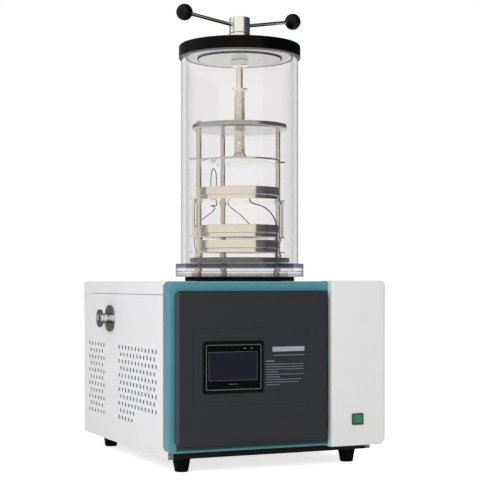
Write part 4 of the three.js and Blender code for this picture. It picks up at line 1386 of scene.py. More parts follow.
@dataclass
class TouchScreen(SubAssembly):
    """The touch screen: housing, bright rim, black glass and the dark display behind it."""

    corner: float = 0.005
    pane_corner: float = 0.003
    opening_corner: float = 0.0018
    ease: float = 0.0012
    edge: float = 0.0001
    pocket: float = 0.0015
    rim_width: float = 0.0016
    rim_rise: float = 0.0002
    layer: float = 0.001  # depth to which the rim and the glass go
    glass: float = 0.0001  # depth at which the glass starts, and its gap to the rim
    display: Rect = Rect(0.0069, -0.0099, 0.0201, -0.0155)  # its sides from those of the glass
    display_edge: float = 0.0007
    shallow: tuple[float, float, float] = (0.00002, 0.00004, 0.00005)  # display, marks, line
    status: tuple[Point, ...] = ((-0.0280, 0.0073), (-0.0119, 0.0073))  # from its upper right corner
    status_size: Point = (0.0030, 0.0012)
    foot_drop: float = 0.0082  # from the display down to the bar under it
    foot_size: Point = (0.0200, 0.0010)

    @staticmethod
    def slab(name: str, outline: list[Point], start: float, end: float, edge: float = 0.0) -> Piece:
        """A flat piece, or a tool, at a depth behind the screen's face.

        Args:
            name: Its name.
            outline: Its outline in front view.
            start: Where it starts.
            end: Where it ends.
            edge: Ease of its edges.

        Returns:
            The piece.
        """
        front = Place.of("screen_bezel").low.y
        return prism(name, outline, front + start, front + end, Axis.Y, edge)

    def build(self) -> None:
        """Makes the housing, the rim, the glass and what shows behind it."""
        place, pane = Place.of("screen_bezel"), Place.of("screen_glass").front
        bezel = self.slab("screen_housing", place.front.outline(self.corner), 0.0, place.size.y, self.ease)
        pocket = self.slab("pocket", pane.inset(-GAP).outline(self.pane_corner), -RUN, self.pocket)
        dress(cut(bezel, [pocket]), BLACK_PLASTIC, Body.ROOT, "screen_bezel")
        outline = pane.outline(self.pane_corner)
        rim = self.slab("screen_bright_rim", outline, -self.rim_rise, self.layer, self.edge)
        opening = pane.inset(self.rim_width)
        hole = self.slab("rim_hole", opening.outline(self.opening_corner), -self.layer, 2 * self.layer)
        dress(cut(rim, [hole]), SCREEN_RIM, Body.ROOT)
        clear = opening.inset(self.glass).outline(self.opening_corner - self.glass)
        glass = self.slab("screen_pane", clear, self.glass, self.layer, self.edge)
        dress(glass, SCREEN_BLACK, Body.ROOT, "screen_glass")
        self.picture(pane.moved(self.display))

    def picture(self, shown: Rect) -> None:
        """The dark display with a line round it, its status bars and the bar under it.

        Args:
            shown: The display in front view.
        """
        display, mark, line = self.shallow
        around_it = shown.inset(-self.display_edge).outline()
        dress(self.slab("display_edge", around_it, line, self.glass), SCREEN_RIM, Body.ROOT)
        dress(self.slab("display", shown.outline(), display, self.glass), SCREEN_NAVY, Body.ROOT)
        marks = []
        for x, z in self.status:
            outline = Rect.about(shown.right + x, shown.top + z, *self.status_size).outline()
            marks.append(self.slab("mark", outline, mark, self.glass))
        low = Rect.about((shown.left + shown.right) / 2, shown.bottom - self.foot_drop, *self.foot_size)
        dress(self.slab("screen_foot_mark", low.outline(), mark, self.glass), FAINT_PRINT, Body.ROOT)
        dress(joined("status_marks", marks), PRINT, Body.ROOT)


@dataclass
class PowerSwitch(SubAssembly):
    """The green rocker switch at the foot of the column."""

    rim: float = 0.002  # its thickness, width and corner radius
    edge: float = 0.0005
    wall: float = 0.0035
    floor: float = 0.0015  # thickness behind the rocker's pocket
    dip: float = 0.001
    face: float = 0.0026
    back: Point = (0.007, 0.005)  # depth and half the height of the rocker's back
    ease: float = 0.0006
    rocker_edge: float = 0.0004
    tilt: float = 7.0
    hinge_ahead: float = 0.0005

    def build(self) -> None:
        """Makes the switch's frame and its rocker."""
        place = Place.of("switch_frame")
        front, rear, rim = place.low.y, place.high.y, self.rim
        frame = prism("switch_surround", place.front.outline(rim), front, front + rim, Axis.Y, self.edge)
        block = place.front.inset(rim).outline(LEAST_CORNER)
        frame = combined(frame, prism("switch_body", block, front + rim - self.edge, rear, Axis.Y), "UNION")
        pocket = place.front.inset(self.wall)
        hollow = prism("hollow", pocket.outline(LEAST_CORNER), front - RUN, rear - self.floor, Axis.Y)
        dress(cut(frame, [hollow]), SWITCH_RIM, Body.ROOT, "switch_frame")
        half_height = (pocket.top - pocket.bottom) / 2 - SLIDE
        half_width = (pocket.right - pocket.left) / 2 - SLIDE
        depth, half_back = self.back
        section = [
            (-self.face, -half_height), (self.dip - self.face, 0), (-self.face, half_height),
            (0, half_height), (depth, half_back), (depth, -half_back), (0, -half_height),
        ]
        section = eased(section, self.ease, closed=True)
        rocker = prism("green_rocker", section, -half_width, half_width, Axis.X, self.rocker_edge)
        hinge_y = Place.of("fascia_column").low.y - self.hinge_ahead
        hinge = Vector((place.middle.x, hinge_y, place.middle.z))
        rocker.matrix_basis = Matrix.Translation(hinge) @ Matrix.Rotation(math.radians(-self.tilt), 4, "X")
        dress(rocker, SWITCH_GREEN, Body.ROCKER, "power_rocker")


@dataclass
class VacuumPort(SubAssembly):
    """The steel vacuum port on the left side panel."""

    bore: float = 0.008
    neck: float = 0.012
    flange: float = 0.021
    flange_thick: float = 0.005
    base_thick: float = 0.005
    taper: float = 0.003
    step: float = 0.002
    ease: float = 0.0007

    def build(self) -> None:
        """Turns the port about its level axis."""
        place = Place.of("vacuum_port")
        length, base, step = place.size.x, place.size.y / 2, self.step
        end = length - self.flange_thick
        profile = [
            (self.bore, 0), (base, 0), (base, self.base_thick), (self.neck, self.base_thick),
            (self.neck, end - self.taper), (self.flange, end), (self.flange, length),
            (self.bore + step, length), (self.bore + step, length - step), (self.bore, length - step),
        ]
        outline = [(radius, -along) for radius, along in eased(profile, self.ease, closed=True)]
        at = Vector((place.high.x, place.middle.y, place.middle.z))
        dress(turned("port_flange", outline, at, FLANGE_ROUND, Axis.X), PORT_STEEL, Body.ROOT, "vacuum_port")


# ------------------------ chamber


@dataclass
class Chamber(SubAssembly):
    """The clear tube on its gasket, and the lid that closes it."""

    wall: float = 0.010
    flange_stand: float = 0.012
    flange_thick: float = 0.029
    seat_thick: float = 0.012
    lip: float = 0.002
    polish: float = 0.0008
    chamfer: float = 0.003
    step_width: float = 0.025
    step: float = 0.003
    gasket_width: float = 0.0155
    gasket_ease: float = 0.002
    bore: float = 0.012
    seal_width: float = 0.016
    cord_radius: float = 0.0014
    cord_seat: Point = (1.1, 0.9)  # its middle from the step's wall and face, in radii

    def build(self) -> None:
        """Makes the gasket, the tube, the seal, the lid and the plate under it."""
        gasket = Place.of("base_gasket")
        inner = gasket.radius - self.gasket_width
        ring = eased(band(inner, gasket.radius, 0, gasket.size.z), self.gasket_ease, closed=True)
        dress(turned("gasket_ring", ring, gasket.foot), RUBBER, Body.ROOT, "base_gasket")
        self.tube(inner + self.lip)
        self.lid()

    def tube(self, lip: float) -> None:
        """The acrylic tube, bonded into its thick base flange.

        Args:
            lip: Radius of the opening in its foot.
        """
        place = Place.of("chamber_tube")
        flange, height = place.radius, place.size.z
        outer = flange - self.flange_stand
        inner = outer - self.wall
        profile = [
            (lip, 0), (flange, 0), (flange, self.flange_thick), (outer, self.flange_thick), (outer, height),
            (inner, height), (inner, self.seat_thick), (lip, self.seat_thick),
        ]
        outline = eased(profile, self.polish, closed=True, steps=2)
        dress(turned("clear_tube", outline, place.foot, FINE_ROUND), ACRYLIC, Body.ROOT, "chamber_tube")

    def lid(self) -> None:
        """The black lid, its grey seal and the stepped steel plate under it."""
        place = Place.of("lid")
        radius, height, c, bore = place.radius, place.size.z, self.chamfer, self.bore
        profile = [(bore, 0), (radius, 0), (radius, height - c), (radius - c, height), (bore, height)]
        lid = turned("black_lid", eased(profile, SOFT_EDGE, closed=True), place.foot, FINE_ROUND)
        dress(lid, LID_BLACK, Body.ROOT, "lid")
        seal = Place.of("lid_seal")
        ring = band(seal.radius - self.seal_width, seal.radius, 0, seal.size.z)
        piece = turned("seal_ring", eased(ring, SOFT_EDGE, closed=True), seal.foot, FINE_ROUND)
        dress(piece, SILICONE, Body.ROOT, "lid_seal")
        plate = Place.of("lid_backing_plate")
        outer, top = plate.radius, plate.size.z
        inner = outer - self.step_width
        stepped = [(bore, 0), (inner, 0), (inner, self.step), (outer, self.step), (outer, top), (bore, top)]
        disc = turned("backing_disc", eased(stepped, EDGE, closed=True), plate.foot, FINE_ROUND)
        dress(disc, PLATE_STEEL, Body.ROOT, "lid_backing_plate")
        cord, (out, down) = self.cord_radius, self.cord_seat
        circle = []
        for angle in range(0, 360, 24):
            turn = math.radians(angle)
            circle.append((inner + cord * (out + math.cos(turn)), self.step + cord * (math.sin(turn) - down)))
        dress(turned("o_ring", circle, plate.foot, FINE_ROUND), RUBBER, Body.ROOT)


@dataclass
class THandle(SubAssembly):
    """The gland on the lid, and the T-handle with its shaft, rods and ball knobs."""

    bore: float = 0.00755
    lid_hole: float = 0.012
    hub_ease: float = 0.0015
    socket_height: float = 0.016
    rise: float = 9.3
    rod_radius: float = 0.004
    knob_radius: float = 0.0185
    knob_reach: float = 0.134
    knob_hole: float = 0.008
    knob_neck: float = 0.0062
    knob_steps: int = 24
    rod_start: float = 0.0137

    def build(self) -> None:
        """Makes the gland, its nut, the hub, the shaft and the two arms."""
        self.gland()
        self.hub()
        for name, angle in (("right", 0.0), ("left", 180.0)):
            self.arm(name, angle)

    def gland(self) -> None:
        """The gland's head and sleeve, and the nut that holds it under the lid."""
        place = Place.of("shaft_gland")
        base = Place.of("lid").high.z - place.low.z
        sleeve, head, top = self.lid_hole - GAP, place.radius, place.size.z
        profile = [(self.bore, 0), (sleeve, 0), (sleeve, base), (head, base), (head, top), (self.bore, top)]
        piece = turned("gland_head", eased(profile, SOFT_EDGE, closed=True), place.foot, FLANGE_ROUND)
        dress(piece, SATIN_STEEL, Body.ROOT, "shaft_gland")
        nut = Place.of("gland_nut")
        ring = eased(band(self.lid_hole, nut.radius, 0, nut.size.z), SOFT_EDGE, closed=True)
        dress(turned("lock_ring", ring, nut.foot, FLANGE_ROUND), STEEL, Body.ROOT, "gland_nut")

    def hub(self) -> None:
        """The hub and the drive shaft that hangs from it."""
        place, shaft = Place.of("handle_hub"), Place.of("drive_shaft")
        block = eased(band(0, place.radius, 0, place.size.z), self.hub_ease)
        hub = turned("polished_hub", block, place.foot, FLANGE_ROUND)
        dress(hub, SATIN_STEEL, Body.HANDLE, "handle_hub")
        bar = eased(band(0, shaft.radius, 0, shaft.size.z), EDGE)
        dress(turned("shaft_bar", bar, shaft.foot, BAR_ROUND), SHAFT_STEEL, Body.HANDLE, "drive_shaft")

    def arm(self, name: str, angle: float) -> None:
        """One rod with its ball knob.

        Args:
            name: Which side it is on.
            angle: Its angle about the axis, in degrees.
        """
        hub = Place.of("handle_hub")
        at = Vector((hub.middle.x, hub.middle.y, hub.low.z + self.socket_height))
        lean = math.radians(90 - self.rise)
        turn = Matrix.Rotation(math.radians(angle), 4, "Z") @ Matrix.Rotation(lean, 4, "Y")
        reach, radius = self.knob_reach / math.cos(math.radians(self.rise)), self.knob_radius
        bar = band(0, self.rod_radius, self.rod_start, reach - radius + self.knob_hole)
        rod = turned(f"{name}_arm", eased(bar, FINE_EDGE), at, BAR_ROUND)
        rod.data.transform(turn)
        dress(rod, CHROME, Body.HANDLE, f"{name}_rod")
        low = -math.sqrt(radius ** 2 - self.knob_neck ** 2)
        first, floor = math.asin(low / radius), self.knob_hole - radius
        ball = [(0, floor), (self.rod_radius, floor), (self.rod_radius, low)]
        for k in range(self.knob_steps):
            lift = first + (math.pi / 2 - first) * k / self.knob_steps
            ball.append((radius * math.cos(lift), radius * math.sin(lift)))
        ball.append((0, radius))
        knob = turned(f"{name}_ball", ball, at, BAR_ROUND)
        knob.data.transform(turn @ Matrix.Translation(Vector((0, 0, reach))))
        dress(knob, KNOB_BLACK, Body.HANDLE, f"{name}_knob")


# ------------------------ rack


@dataclass
class TrayRack(SubAssembly):
    """Base plate, posts, shelves, trays and top plate inside the chamber."""

    post: float = 0.0055
    leg: float = 0.008
    circle: float = 0.098
    posts: tuple[tuple[str, float], ...] = (("right", 0.0), ("rear", 90.0), ("left", 180.0))
    collar: float = 0.008
    collar_height: float = 0.0078
    tip: float = 0.0045
    nut: float = 0.0065
    nut_edge: float = 0.0006
    ear_width: float = 0.018
    ear_thick: float = 0.0025
    ear_round: float = 0.006
    ear_edge: float = 0.0003
    ear_root: float = 0.003
    link: float = 0.003
    link_out: float = 0.0114
    link_ease: float = 0.0004
    link_round: int = 24
    shelf_height: float = 0.0095
    shelf_radius: float = 0.087
    tray_wall: float = 0.0015
    tray_ease: float = 0.0007
    plate_chamfer: float = 0.003
    base_ease: float = 0.0012
    opening: float = 0.016
    opening_circle: float = 0.063
    opening_angles: Sequence[int] = range(30, 390, 60)
    opening_round: int = 40
    centre_hole: float = 0.028
    screw_hole: float = 0.0124
    nut_body: float = 0.017

    def build(self) -> None:
        """Makes the rack from the base plate up."""
        self.base_plate()
        for level in ("upper", "middle", "lower"):
            self.shelf(level)
            self.tray(level)
        for name, angle in self.posts:
            self.rod(name, angle)
        self.top_plate()

    def post_holes(self, radius: float, bottom: float, top: float) -> list[Piece]:
        """Bars to cut the holes with through which a plate takes the posts.

        Args:
            radius: The holes' radius.
            bottom: Where the plate starts.
            top: Where it ends.

        Returns:
            The bars.
        """
        bar = band(0, radius, bottom - RUN, top + RUN)
        places = [around(chamber_axis(), self.circle, angle, 0) for _, angle in self.posts]
        return [turned("post_hole", bar, at, POST_ROUND) for at in places]

    def ears(self, inner: float, outer: float, bottom: float, top: float) -> Piece:
        """The drilled ears that carry a plate on the posts, with rounded ends.

        Args:
            inner: Where they start, from the axis.
            outer: Where they end.
            bottom: Height of their underside.
            top: Height of their upper side.

        Returns:
            The ears in one piece.
        """
        axis, half = chamber_axis(), self.ear_width / 2
        outline = Rect(inner, outer, -half, half).outline(LEAST_CORNER, self.ear_round)
        pieces = []
        for _, angle in self.posts:
            ear = prism("ear", outline, bottom, top, Axis.Z, self.ear_edge)
            ear.data.transform(Matrix.Rotation(math.radians(angle), 4, "Z"))
            ear.location = Vector((axis.x, axis.y, 0))
            pieces.append(ear)
        return cut(joined("ears", pieces), self.post_holes(self.post + SLIDE, bottom, top))

    def base_plate(self) -> None:
        """The base plate, with openings for the vapour."""
        place = Place.of("rack_base_plate")
        disc = band(self.centre_hole, place.radius, 0, place.size.z)
        plate = turned("vapour_base_plate", eased(disc, self.base_ease, closed=True), place.foot)
        bar = band(0, self.opening, -RUN, 3 * RUN)
        tools = []
        for angle in self.opening_angles:
            at = around(place.foot, self.opening_circle, angle, place.low.z)
            tools.append(turned("opening", bar, at, self.opening_round))
        tools += self.post_holes(self.post + GAP, place.low.z, place.high.z)
        dress(cut(plate, tools), DARK_STEEL, Body.ROOT, "rack_base_plate")

    def shelf_bottom(self, level: str) -> float:
        """Height of the underside of the shelf at a level."""
        return Place.of(f"{level}_tray").low.z - GAP - self.shelf_height

    def shelf(self, level: str) -> None:
        """A heated shelf on its ears; the upper one carries the links to the middle one.

        Args:
            level: Which shelf it is.
        """
        axis, bottom = chamber_axis(), self.shelf_bottom(level)
        disc = eased(band(0, self.shelf_radius, 0, self.shelf_height), SOFT_EDGE)
        plate = turned(f"{level}_heated_shelf", disc, Vector((axis.x, axis.y, bottom)))
        reach = Place.of(f"{level}_shelf").high.y - axis.y
        parts = [plate, self.ears(self.shelf_radius - self.ear_root, reach, bottom, bottom + self.ear_thick)]
        if level == "upper":
            parts += self.links(bottom)
        dress(joined(f"{level}_shelf_plate", parts), STEEL, Body.ROOT, f"{level}_shelf")

    def links(self, top: float) -> list[Piece]:
        """The two thin bars that tie the upper shelf to the one below.

        Args:
            top: Height of their upper end.

        Returns:
            The bars.
        """
        bar = eased(band(0, self.link, Place.of("upper_shelf").low.z, top), self.link_ease)
        places = [around(chamber_axis(), self.circle + self.link_out, angle, 0) for angle in (180, 0)]
        return [turned("link", bar, at, self.link_round) for at in places]

    def tray(self, level: str) -> None:
        """A round product tray with a rolled rim.

        Args:
            level: Which shelf it stands on.
        """
        place = Place.of(f"{level}_tray")
        outer, top, wall = place.radius, place.size.z, self.tray_wall
        inner = outer - wall
        cup = [(0, 0), (outer, 0), (outer, top), (inner, top), (inner, wall), (0, wall)]
        tray = turned(f"{level}_product_tray", eased(cup, self.tray_ease), place.foot)
        dress(tray, STEEL, Body.ROOT, f"{level}_tray")

    def rod(self, name: str, angle: float) -> None:
        """One post with its leg, its collars and the nut above the top plate.

        Args:
            name: Which post it is.
            angle: Its angle about the chamber's axis, in degrees.
        """
        place = Place.of(f"{name}_post")
        at = around(chamber_axis(), self.circle, angle, 0)
        base, plate = Place.of("rack_base_plate"), Place.of("rack_top_plate")
        profile = [(0, place.low.z), (self.leg, place.low.z), (self.leg, base.low.z - GAP),
                   (self.post, base.low.z - GAP), (self.post, base.high.z + GAP)]
        for level in ("lower", "middle", "upper"):
            seat = self.shelf_bottom(level) - GAP
            low = base.high.z + GAP if level == "lower" else seat - self.collar_height
            profile += [(self.post, low), (self.collar, low), (self.collar, seat), (self.post, seat)]
        profile += [(self.post, plate.low.z - GAP), (self.tip, plate.low.z - GAP),
                    (self.tip, place.high.z), (0, place.high.z)]
        bar = turned(f"{name}_bar", eased(profile, FINE_EDGE, steps=2), at, POST_ROUND)
        turns = [math.radians(60 * k) for k in range(6)]
        hexagon = [(self.nut * math.cos(turn), self.nut * math.sin(turn)) for turn in turns]
        bottom, top = plate.high.z + GAP, place.high.z - self.nut_edge
        nut = prism("nut", hexagon, bottom, top, Axis.Z, self.nut_edge, at)
        dress(joined(f"{name}_rack_post", [bar, nut]), POST_STEEL, Body.ROOT, f"{name}_post")

    def top_plate(self) -> None:
        """The top plate and the flanged nut that the screw runs in."""
        place, nut = Place.of("rack_top_plate"), Place.of("screw_nut")
        radius, height, c = place.radius, place.size.z, self.plate_chamfer
        inner = self.nut_body + GAP
        disc = [(inner, 0), (radius - c, 0), (radius, c), (radius, height), (inner, height)]
        plate = turned("thrust_plate", eased(disc, EDGE, closed=True), place.foot)
        holes = self.post_holes(self.tip + GAP, place.low.z, place.high.z)
        dress(cut(plate, holes), PLATE_STEEL, Body.ROOT, "rack_top_plate")
        under, top = place.high.z - nut.low.z + GAP, nut.size.z
        profile = [(self.screw_hole, 0), (self.nut_body, 0), (self.nut_body, under), (nut.radius, under),
                   (nut.radius, top), (self.screw_hole, top)]
        piece = turned("flanged_nut", eased(profile, EDGE, closed=True), nut.foot, FLANGE_ROUND)
        dress(piece, BRONZE, Body.ROOT, "screw_nut")


@dataclass
class StopperingPress(SubAssembly):
    """The press plate, its foot and the screw that pushes it down."""

    lead: float = 0.005  # how far the screw moves in a turn
    starts: int = 2
    rings: int = 8  # rings of points in a pitch of the thread
    thread_depth: float = 0.0007
    thread_start: float = 0.001
    collar_thick: float = 0.003
    nose: float = 0.008
    socket: float = 0.012  # depth of the nose's hole in the foot
    core: float = 0.012
    shaft_bore: float = 0.096  # depth of the bore for the drive shaft
    ear_root: float = 0.004  # how far the ears run in under the plate's rim

    def build(self) -> None:
        """Makes the plate, the foot and the screw."""
        self.plate()
        self.foot()
        self.screw()

    def plate(self) -> None:
        """The press plate on its three ears."""
        place, axis = Place.of("press_plate"), chamber_axis()
        radius, bottom = Place.of("upper_tray").radius, place.low.z
        disc = eased(band(0, radius, 0, place.size.z), EDGE)
        pan = turned("press_disc", disc, Vector((axis.x, axis.y, bottom)))
        ears = TrayRack().ears(radius - self.ear_root, place.high.y - axis.y, bottom, place.high.z)
        dress(joined("sliding_press_plate", [pan, ears]), PRESS_STEEL, Body.PRESS, "press_plate")

    def foot(self) -> None:
        """The tapered foot that couples the screw to the plate."""
        place, inner = Place.of("screw_foot"), self.nose + SLIDE
        top = place.size.z
        floor = top - self.socket
        profile = [(0, 0), (place.radius, 0), (self.core, top), (inner, top), (inner, floor), (0, floor)]
        foot = turned("press_foot", eased(profile, EDGE), place.foot, FLANGE_ROUND)
        dress(foot, STEEL, Body.PRESS, "screw_foot")

    def screw(self) -> None:
        """The two-start screw, with a collar on top and the bore that takes the shaft."""
        place = Place.of("press_screw")
        height, bore = place.size.z, Place.of("drive_shaft").radius + SLIDE
        low = Place.of("screw_foot").high.z - place.low.z + GAP
        under, floor = height - self.collar_thick, height - self.shaft_bore
        start = [(0, 0), (self.nose, 0), (self.nose, low), (self.core - self.thread_start, low)]
        end = [(self.core, under), (place.radius, under), (place.radius, height), (bore, height),
               (bore, floor), (0, floor)]
        steps = round((under - low) / (self.lead / self.starts / self.rings))
        thread = [self.thread(low + (under - low) * (k + 0.5) / steps) for k in range(steps)]
        first, last = ([level_ring(*row, BAR_ROUND) for row in rows] for rows in (start, end))
        screw = made("threaded_screw", lofted(first + thread + last, capped=True), place.foot)
        dress(screw, SHAFT_STEEL, Body.SCREW, "press_screw")

    def thread(self, z: float) -> Ring:
        """A ring of points on the thread's surface.

        Args:
            z: Its height.

        Returns:
            The points.
        """
        pitch = self.lead / self.starts
        ring = []
        for x, y, _ in level_ring(1.0, z, BAR_ROUND):
            phase = (z / pitch - self.starts * math.atan2(y, x) / (2 * math.pi)) % 1.0
            wave = min(max(abs(phase - 0.5) * 4 - 0.5, 0.0), 1.0)  # 0 on the crest, 1 in the root
            radius = self.core - self.thread_depth * wave
            ring.append((radius * x, radius * y, z))
        return ring


# ------------------------ leads


@dataclass(frozen=True)
class Lead:
    """A thin lead in the chamber.

    Attributes:
        name: The piece's name.
        node: The node that it stands for.
        diameter: Its diameter.
        length: Its length.
        points: Its route: distance from the chamber's axis, angle in degrees, height above the roof.
    """

    name: str
    node: str
    diameter: float
    length: float
    points: tuple[tuple[float, float, float], ...]

    def route(self, axis: Vector, roof: float) -> list[Vector]:
        """The route in the frame.

        Args:
            axis: The chamber's axis.
            roof: Height of the roof.

        Returns:
            The points of the route.
        """
        return [around(axis, radius, angle, roof + height) for radius, angle, height in self.points]


HEATER_LEAD = Lead("heater_cable", "heater_lead", 0.0026, 0.1598, (
    (0.062, -93, 0.1823), (0.0625, -92.5, 0.1775), (0.0655, -89, 0.1735), (0.0796, -75, 0.166),
    (0.091, -68.7, 0.155), (0.099, -65, 0.140), (0.1032, -63.7, 0.123), (0.104, -63.3, 0.100),
    (0.104, -63.3, 0.075), (0.104, -63.3, 0.0527)))
PROBE_LEAD = Lead("probe_cable", "probe_lead", 0.002, 0.1020, (
    (0.080, 86, 0.1823), (0.0795, 85.5, 0.1775), (0.076, 81, 0.170), (0.064, 66, 0.155),
    (0.054, 46, 0.136), (0.0515, 33, 0.122), (0.0515, 29, 0.1106)))
GROUND_LEAD = Lead("ground_cable", "ground_lead", 0.002, 0.1921, (
    (0.080, 109, 0.1823), (0.080, 109, 0.1785), (0.085, 104.5, 0.176), (0.092, 108, 0.175),
    (0.091, 115, 0.174), (0.084, 117, 0.173), (0.078, 113, 0.1705), (0.079, 117, 0.162),
    (0.090, 124, 0.150), (0.105, 131, 0.136), (0.114, 133, 0.124), (0.117, 134, 0.108),
    (0.115, 133.5, 0.085), (0.111, 133, 0.066), (0.110, 133, 0.0527)))
SENSOR_LEAD = Lead("sensor_cable", "sensor_lead", 0.002, 0.1759, (
    (0.0872, 108, 0.1875), (0.094, 108, 0.188), (0.101, 107.5, 0.194), (0.104, 107, 0.215),
    (0.105, 106.5, 0.240), (0.105, 104.5, 0.258), (0.105, 102, 0.263), (0.1045, 99.8, 0.258),
    (0.104, 98, 0.240), (0.104, 98.5, 0.215), (0.101, 98.5, 0.194), (0.094, 98.5, 0.188),
    (0.0872, 98.5, 0.1875)))


@dataclass
class Leads(SubAssembly):
    """The four thin leads in the chamber."""

    leads: tuple[Lead, ...] = (HEATER_LEAD, PROBE_LEAD, GROUND_LEAD, SENSOR_LEAD)
    pieces: int = 36

    def build(self) -> None:
        axis, roof = chamber_axis(), Place.of("top_cover").high.z
        for lead in self.leads:
            route = smooth_route(lead.route(axis, roof), self.pieces)
            curve = bpy.data.curves.new(lead.name, "CURVE")
            curve.dimensions = "3D"
            curve.bevel_depth = lead.diameter / 2
            curve.bevel_resolution = 4
            curve.use_fill_caps = True
            spline = curve.splines.new("POLY")
            spline.points.add(len(route) - 1)
            for point, place in zip(spline.points, route):
                point.co = (*place, 1.0)
            spline.use_smooth = True
            cable = bpy.data.objects.new(lead.name, curve)
            bpy.context.scene.collection.objects.link(cable)
            dress(cable, CABLE, Body.ROOT, lead.node)


def smooth_route(points: Sequence[Vector], pieces: int, steps: int = 16) -> list[Vector]:
    """Runs a smooth curve through points, in pieces of even length.

    Args:
        points: The points of the route.
        pieces: Number of straight pieces in the curve.
        steps: Pieces that each stretch is measured in.

    Returns:
        The points of the curve.
    """
    ends = [points[0] * 2 - points[1], *points, points[-1] * 2 - points[-2]]
    fine = [points[0]]
    for p0, p1, p2, p3 in zip(ends, ends[1:], ends[2:], ends[3:]):
        t1 = math.sqrt((p1 - p0).length)
        t2 = t1 + math.sqrt((p2 - p1).length)
        t3 = t2 + math.sqrt((p3 - p2).length)
        for k in range(1, steps + 1):
            t = t1 + (t2 - t1) * k / steps
            a1 = p0.lerp(p1, t / t1)
            a2 = p1.lerp(p2, (t - t1) / (t2 - t1))
            a3 = p2.lerp(p3, (t - t2) / (t3 - t2))
            fine.append(a1.lerp(a2, t / t2).lerp(a2.lerp(a3, (t - t1) / (t3 - t1)), (t - t1) / (t2 - t1)))
    lengths = [0.0]
    for before, after in zip(fine, fine[1:]):
        lengths.append(lengths[-1] + (after - before).length)
    route, k = [], 0
    for step in range(pieces + 1):
        wanted = lengths[-1] * step / pieces
        while k < len(fine) - 2 and lengths[k + 1] < wanted:
            k += 1
        share = (wanted - lengths[k]) / (lengths[k + 1] - lengths[k])
        route.append(fine[k].lerp(fine[k + 1], min(share, 1.0)))
    return route


# ------------------------ inside


@dataclass
class Inside(SubAssembly):
    """The cold trap, and the nodes of the frame that keep their own shape inside the housing."""

    nodes: dict[str, Piece]
    wall: float = 0.0015
    rim: float = 0.002
    coil_gap: float = 0.0085
    kept: tuple[tuple[str, Finish], ...] = (
        ("base_pan", PAN_BLACK), ("front_bulkhead", GALVANISED), ("vacuum_line", RUBBER),
        ("evaporator_coil", COPPER), ("trap_insulation", FOAM), ("compressor", PAN_BLACK),
        ("condenser_core", ALUMINIUM), ("fan_shroud", GALVANISED), ("fan_rotor", BLACK_PLASTIC),
        ("controller_box", GALVANISED),
    )

    def build(self) -> None:
        """Makes the pot and gives the kept nodes their finishes."""
        place = Place.of("cold_trap_pot")
        outer = Place.of("evaporator_coil").radius - self.coil_gap
        inner, height = outer - self.wall, place.size.z
        profile = [
            (0, 0), (outer, 0), (outer, height - self.rim), (place.radius, height - self.rim),
            (place.radius, height), (inner, height), (inner, self.wall), (0, self.wall),
        ]
        dress(turned("trap_pot", eased(profile, SOFT_EDGE), place.foot), STEEL, Body.ROOT, "cold_trap_pot")
        for node, finish in self.kept:
            mesh = self.nodes[node].data
            mesh.materials.clear()
            mesh.materials.append(finish.material())
            LOG.info("%s keeps its shape in %s", node, finish.name)


# ------------------------ studio


@dataclass(frozen=True)
class Lamp:
    """A soft square lamp that faces the middle of the object.

    Attributes:
        name: Its name.
        turn: Its direction, in degrees to the right of the line towards the camera.
        distance: How far it stands from the upright axis.
        height: Its height.
        size: Length of its side.
        power: Its power in watts.
    """

    name: str
    turn: float
    distance: float
    height: float
    size: float
    power: float


